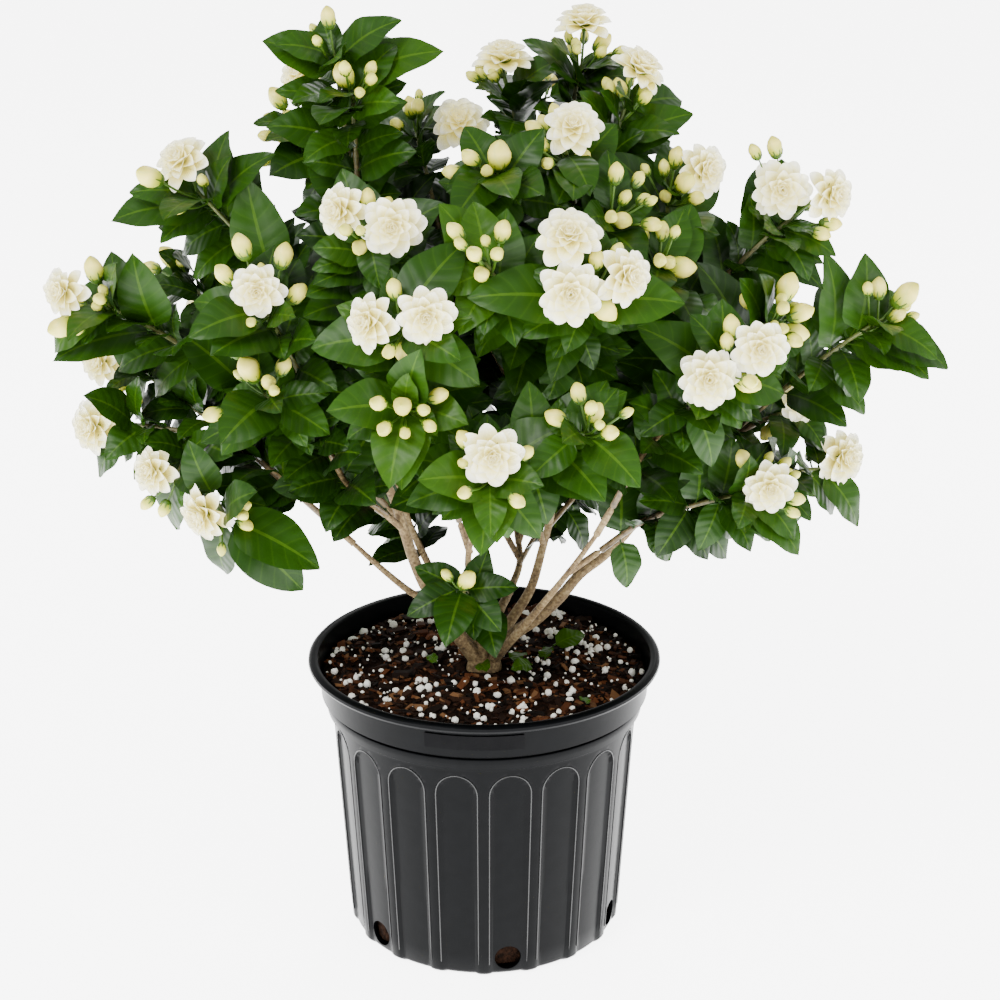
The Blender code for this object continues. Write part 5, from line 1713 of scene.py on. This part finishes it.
def make_pot():
    """Rows from the middle of the foot, up the outside, over the rim and down to the floor."""
    pot = Fine()
    turns = [2 * math.pi * k / TURNS for k in range(TURNS)]
    heights = [0.0, 0.0012, 0.0028, FOOT_TOP[0]] + [0.02 * k for k in range(1, 9)]
    heights += [ARCH_START + ARCH_STEP * k for k in range(15)] + [ABOVE_ARCHES, WALL_TOP[0]]
    rows = [[Vector((0, 0, 0))] * TURNS, [around(FOOT[1] * 0.7, a, 0) for a in turns]]
    rows += [[around(fine_wall_radius(h) - sunk(a, h), a, h) for a in turns] for h in heights]
    rows += [[around(radius, a, height) for a in turns] for height, radius in COLLAR_PROFILE]
    inner = BASE_RADIUS - PANEL_DEPTH - WALL
    rows += [[around(radius, a, height) for a in turns] for height, radius in
             ((FLOOR_THICKNESS + 0.004, inner), (FLOOR_THICKNESS, inner - 0.004), (FLOOR_THICKNESS, 0.02))]
    rows.append([Vector((0, 0, FLOOR_THICKNESS))] * TURNS)
    pot.grid(rows, [[(0, 0, 0)] * TURNS for row in rows], closed=True)
    return pot.make("pot_fine", pot_plastic, "pot_plastic")


pot = make_pot()
print("pot grid has", len(pot.data.polygons), "faces")

# %% Closing the pot's seams
clean = bmesh.new()
clean.from_mesh(pot.data)
bmesh.ops.remove_doubles(clean, verts=clean.verts, dist=1e-6)
bmesh.ops.recalc_face_normals(clean, faces=clean.faces)
clean.to_mesh(pot.data)
clean.free()
pot.data.set_sharp_from_angle(angle=math.radians(32))
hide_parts("pot")
print("pot has", len(pot.data.polygons), "faces")

# %% [markdown]
# ## The raised line round each panel
#
# In the picture a thin bright line runs up each side of a panel and over its arch, where its edge catches
# the light. Painting it on the wall would need a very fine grid. A thin round cord, half sunk in the wall,
# gives the same line: it catches some light of its own, and its paler colour is a painted highlight.

# %% The thin raised line round every panel
LINE_FOOT = 0.012
LINE_RADIUS = 0.0005
LINE_SUNK = 0.0001


def panel_line():
    """Turns from the panel's middle and heights: up one side, over the arch and down the other."""
    run, rise = ARCH_START - LINE_FOOT, ARCH_TOP - ARCH_START
    turns = [math.pi * k / 16 for k in range(17)]
    up = [(-PANEL_HALF_ANGLE, LINE_FOOT + run * k / 8) for k in range(8)]
    arch = [(-PANEL_HALF_ANGLE * math.cos(a), ARCH_START + rise * math.sin(a)) for a in turns]
    down = [(PANEL_HALF_ANGLE, ARCH_START - run * k / 8) for k in range(1, 9)]
    return up + arch + down


edges = Fine()
for panel in range(PANELS):
    middle = FIRST_PANEL + 2 * math.pi * panel / PANELS
    line = [around(fine_wall_radius(height) - LINE_SUNK, middle + turn, height)
            for turn, height in panel_line()]
    fine_stem(edges, line, [LINE_RADIUS] * len(line), 6, 1)
# The cords take the paler finish, a painted highlight along the panel edges.
edges.make("panel_highlight_lines", pot_edge_highlight, "pot_plastic")
print("panel lines have", len(edges.faces), "faces")

# %% [markdown]
# ## Drain holes
#
# Water leaves the pot through round holes low in its wall. The holes could be left out of the grid, but
# then their edges would follow its squares. Cutting them with a round tool keeps them round, and the mix
# shows inside.

# %% Drain holes
for hole in range(DRAIN_HOLES):
    turn = FIRST_PANEL + 2 * math.pi * hole / DRAIN_HOLES
    way = [around(BASE_RADIUS + 0.01, turn, DRAIN_HEIGHT), around(BASE_RADIUS - 0.009, turn, DRAIN_HEIGHT)]
    corners, faces = tube(way, [DRAIN_RADIUS] * 2, 32)
    mesh = bpy.data.meshes.new(f"drain_{hole}")
    mesh.from_pydata([tuple(c) for c in corners], [], faces)
    cutter = add_object(f"drain_cutter_{hole}", mesh)
    cutter.hide_render = True
    cutter.display_type = "WIRE"
    cut = pot.modifiers.new("drain", "BOOLEAN")
    cut.operation = "DIFFERENCE"
    cut.solver = "EXACT"
    cut.object = cutter
print(DRAIN_HOLES, "drain holes cut")

# %% [markdown]
# ## Label
#
# A small dark sticker sits on the collar, and it is left blank. It could be made again, but the CAD
# model's plate already has its shape, so it only gets a finish.

# %% The label
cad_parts["label"].data.materials.clear()
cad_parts["label"].data.materials.append(label_paper)
print("blank label kept from the CAD model")

# %% [markdown]
# ## Soil
#
# Potting mix is loose: bark chips, dark crumbs and white perlite. A flat lid with an image on it would
# look flat from this close. So the CAD soil stays as the ground, a gently waved top lies over it, and
# chips and grains are strewn on that. In the picture the mix stands higher in the pot than in the
# CAD solid, and it rises a little towards the back, so the top does too.

# %% The ground under the mix
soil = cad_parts["soil"]
soil.data.materials.clear()
soil.data.materials.append(soil_mix)
print("ground at", SOIL_HEIGHT, "m")

# %% The top of the mix
MIX_TOP = 0.2165
MIX_INNER = 0.0155
MIX_RADIUS = 0.1287
MIX_RINGS = 27
MIX_TURNS = 72
MOUND_HEIGHT = 0.004
RISE_TO_BACK = 0.025


def mix_height(x, y):
    """The height of the loose mix: a gentle mound at the crown, small waves, and a rise to the back."""
    radius = math.hypot(x, y)
    mound = MOUND_HEIGHT * math.exp(-((radius - 0.02) / 0.03) ** 2)
    waves = 0.0012 * math.sin(90 * x + 1.3) * math.cos(75 * y) + 0.0008 * math.sin(210 * x - 160 * y)
    return MIX_TOP + mound + waves + RISE_TO_BACK * y


def mix_point(radius, turn):
    """The point on top of the mix at this radius and turn."""
    x, y = radius * math.cos(turn), radius * math.sin(turn)
    return Vector((x, y, mix_height(x, y)))


top = Fine()
rings = [MIX_INNER + (MIX_RADIUS - MIX_INNER) * k / (MIX_RINGS - 1) for k in range(MIX_RINGS)]
turns = [2 * math.pi * k / MIX_TURNS for k in range(MIX_TURNS)]
rows = [[mix_point(radius, turn) for turn in turns] for radius in rings]
top.grid(rows, [[(0, 0, 0)] * MIX_TURNS] * MIX_RINGS, closed=True)
top.make("soil_top", soil_mix, "soil_mix")
print("mix top at", round(mix_height(0.08, 0), 4), "m")

# %% [markdown]
# ## Chips and grains
#
# A bark chip is a flat sliver, and a perlite grain is a bumpy ball. Copies of one chip would show, so
# each one has its own pushed corners, heading and tone. All of them lie on the top of the mix at random
# places, spread evenly over its area.

# %% A place on the mix
soil_draw = random.Random(11)


def soil_place(inner=0.0185, outer=0.1262):
    """A random place on top of the mix. All places are equally likely over its area."""
    radius = math.sqrt(soil_draw.uniform(inner ** 2, outer ** 2))
    turn = soil_draw.uniform(0, 2 * math.pi)
    return mix_point(radius, turn)


# %% One bark chip
BOX_FACES = ((0, 1, 3, 2), (4, 6, 7, 5), (0, 4, 5, 1), (2, 3, 7, 6), (0, 2, 6, 4), (1, 5, 7, 3))
CHIP_WIDTH = 0.42
CHIP_THICKNESS = 0.2


def chip(fine, middle, size, tone):
    """A flat sliver of bark lying nearly level: a box with its corners pushed about."""
    heading = soil_draw.uniform(0, 2 * math.pi)
    long = Vector((math.cos(heading), math.sin(heading), soil_draw.uniform(-0.5, 0.5))).normalized()
    wide = square_to(long, Vector((-math.sin(heading), math.cos(heading), soil_draw.uniform(-0.5, 0.5))))
    thick = long.cross(wide)
    start = len(fine.corners)
    for k in range(8):
        push = [(1 if k & bit else -1) * (1 + soil_draw.uniform(-0.4, 0.3)) for bit in (1, 2, 4)]
        corner = long * push[0] * size + wide * push[1] * size * CHIP_WIDTH
        corner += thick * push[2] * size * CHIP_THICKNESS
        fine.corners.append(middle + corner * 0.5)
        fine.marks.append((0, 0, tone))
    fine.faces += [tuple(start + k for k in face) for face in BOX_FACES]


print("a chip has", len(BOX_FACES), "faces")

# %% One grain of perlite
ball = bmesh.new()
bmesh.ops.create_icosphere(ball, subdivisions=2, radius=1.0)
ball_corners = [v.co.copy() for v in ball.verts]
ball_faces = [[v.index for v in f.verts] for f in ball.faces]
ball.free()


def grain(fine, middle, size):
    """A rounded grain of perlite."""
    start = len(fine.corners)
    stretch = Vector([soil_draw.uniform(0.75, 1.2) for axis in range(3)])
    for vertex in ball_corners:
        bumpy = 1 + soil_draw.uniform(-0.12, 0.12)
        corner = Vector([vertex[i] * stretch[i] for i in range(3)])
        fine.corners.append(middle + corner * size * 0.5 * bumpy)
        fine.marks.append((0, 0, 0))
    fine.faces += [tuple(start + k for k in face) for face in ball_faces]


print("a grain has", len(ball_faces), "faces")

# %% Strewing chips and grains
CHIPS = 1900
GRAINS = 460
chips, grains = Fine(), Fine()
for k in range(CHIPS):
    size = soil_draw.uniform(0.003, 0.008) * (2.1 if k % 6 == 0 else 1)
    tone = soil_draw.random() ** 1.4 * 0.95
    chip(chips, soil_place() + UP * soil_draw.uniform(-0.0005, 0.002), size, tone)
for k in range(GRAINS):
    size = 0.0015 + 0.0056 * soil_draw.random() ** 2.0
    grain(grains, soil_place() + UP * soil_draw.uniform(0.001, 0.003), size)
chip_piece = chips.make("bark_chips", chip_bark, "soil_mix")
chip_piece.data.polygons.foreach_set("use_smooth", [False] * len(chip_piece.data.polygons))
grains.make("perlite_grains", perlite_white, "soil_mix")
print(len(chips.faces), "chip faces,", len(grains.faces), "grain faces")

# %% [markdown]
# ## Fallen leaves and bits
#
# A few small leaves have dropped on the mix. Their places were read off the picture. The line of
# sight through each place meets the mix at one point, and the leaf lies there.

# %% Fallen leaves and bits
# Across and down in the picture, then the length in metres
FALLEN = ((553, 648, 0.030), (520, 658, 0.024), (532, 668, 0.022), (545, 662, 0.020), (481, 670, 0.022),
          (581, 697, 0.016), (437, 665, 0.014))
fallen = Fine()
for across, down, long in FALLEN:
    line = seen(across, down, -1.0) - VIEW_PLACE
    spot = VIEW_PLACE + line * ((MIX_TOP + 0.004 - VIEW_PLACE.z) / line.z)
    spot.z = mix_height(spot.x, spot.y) + 0.005
    turn = soil_draw.uniform(0, 6)
    run = Vector((math.cos(turn), math.sin(turn), 0.15)) * long
    tilt = Vector((soil_draw.uniform(-0.5, 0.5), soil_draw.uniform(-0.9, 0.0), 1))
    fine_leaf(fallen, Leaf("soil", spot, spot + run, tilt, long * 0.62, True), 1.0, turn)
fallen.make("fallen_leaves", leaf_green, "leaf_green")
print(len(FALLEN), "fallen leaves made")

# %% [markdown]
# ## Studio
#
# The photograph has a white ground with hardly a shadow. A white wall behind the plant would need light
# of its own. A pale floor that glows and runs far back does both, under an even white sky. A large soft
# light stands in front on the left, with weaker ones on the right and behind, and the camera stands
# where the photograph's camera stood.

# %% Floor
floor_material, floor_tree, floor_shader = new_material("studio_floor", 0.9)
floor_shader.inputs["Base Color"].default_value = (0.95, 0.95, 0.955, 1)
floor_shader.inputs["Emission Color"].default_value = (1, 1, 1, 1)
floor_shader.inputs["Emission Strength"].default_value = 6.0
floor_mesh = bpy.data.meshes.new("studio_floor")
floor_mesh.from_pydata([(-40, -40, 0), (40, -40, 0), (40, 60, 0), (-40, 60, 0)], [], [(0, 1, 2, 3)])
floor_mesh.materials.append(floor_material)
floor = add_object("studio_floor", floor_mesh)
floor.location.z = -0.0005
print("floor laid")

# %% Lights
def soft_light(name, place, target, size, power):
    """A round area light at the place, turned to the target."""
    data = bpy.data.lights.new(name, "AREA")
    data.shape = "DISK"
    data.size = size
    data.energy = power
    light = add_object(name, data)
    light.location = place
    light.rotation_euler = (Vector(target) - Vector(place)).to_track_quat("-Z", "Y").to_euler()


soft_light("key", (-1.4, -1.9, 2.6), (0, 0, 0.35), 1.2, 105)
soft_light("fill", (2.2, -1.6, 1.8), (0, 0, 0.35), 1.0, 36)
soft_light("back", (0.4, 2.4, 2.4), (0, 0, 0.4), 1.4, 42)
world = bpy.data.worlds.new("studio")
world.use_nodes = True
world.node_tree.nodes["Background"].inputs["Color"].default_value = (1, 1, 1, 1)
world.node_tree.nodes["Background"].inputs["Strength"].default_value = 1.0
bpy.context.scene.world = world
print("lights set")

# %% Camera
camera_data = bpy.data.cameras.new("camera")
camera_data.sensor_width = 36.0
camera_data.lens = camera_data.sensor_width * PICTURE_FOCAL / (2 * PICTURE_MIDDLE)
camera = add_object("camera", camera_data)
camera.location = VIEW_PLACE
camera.rotation_euler = (math.pi / 2 - VIEW_PITCH, 0, 0)
bpy.context.scene.camera = camera
print("camera lens", round(camera_data.lens, 1), "mm")
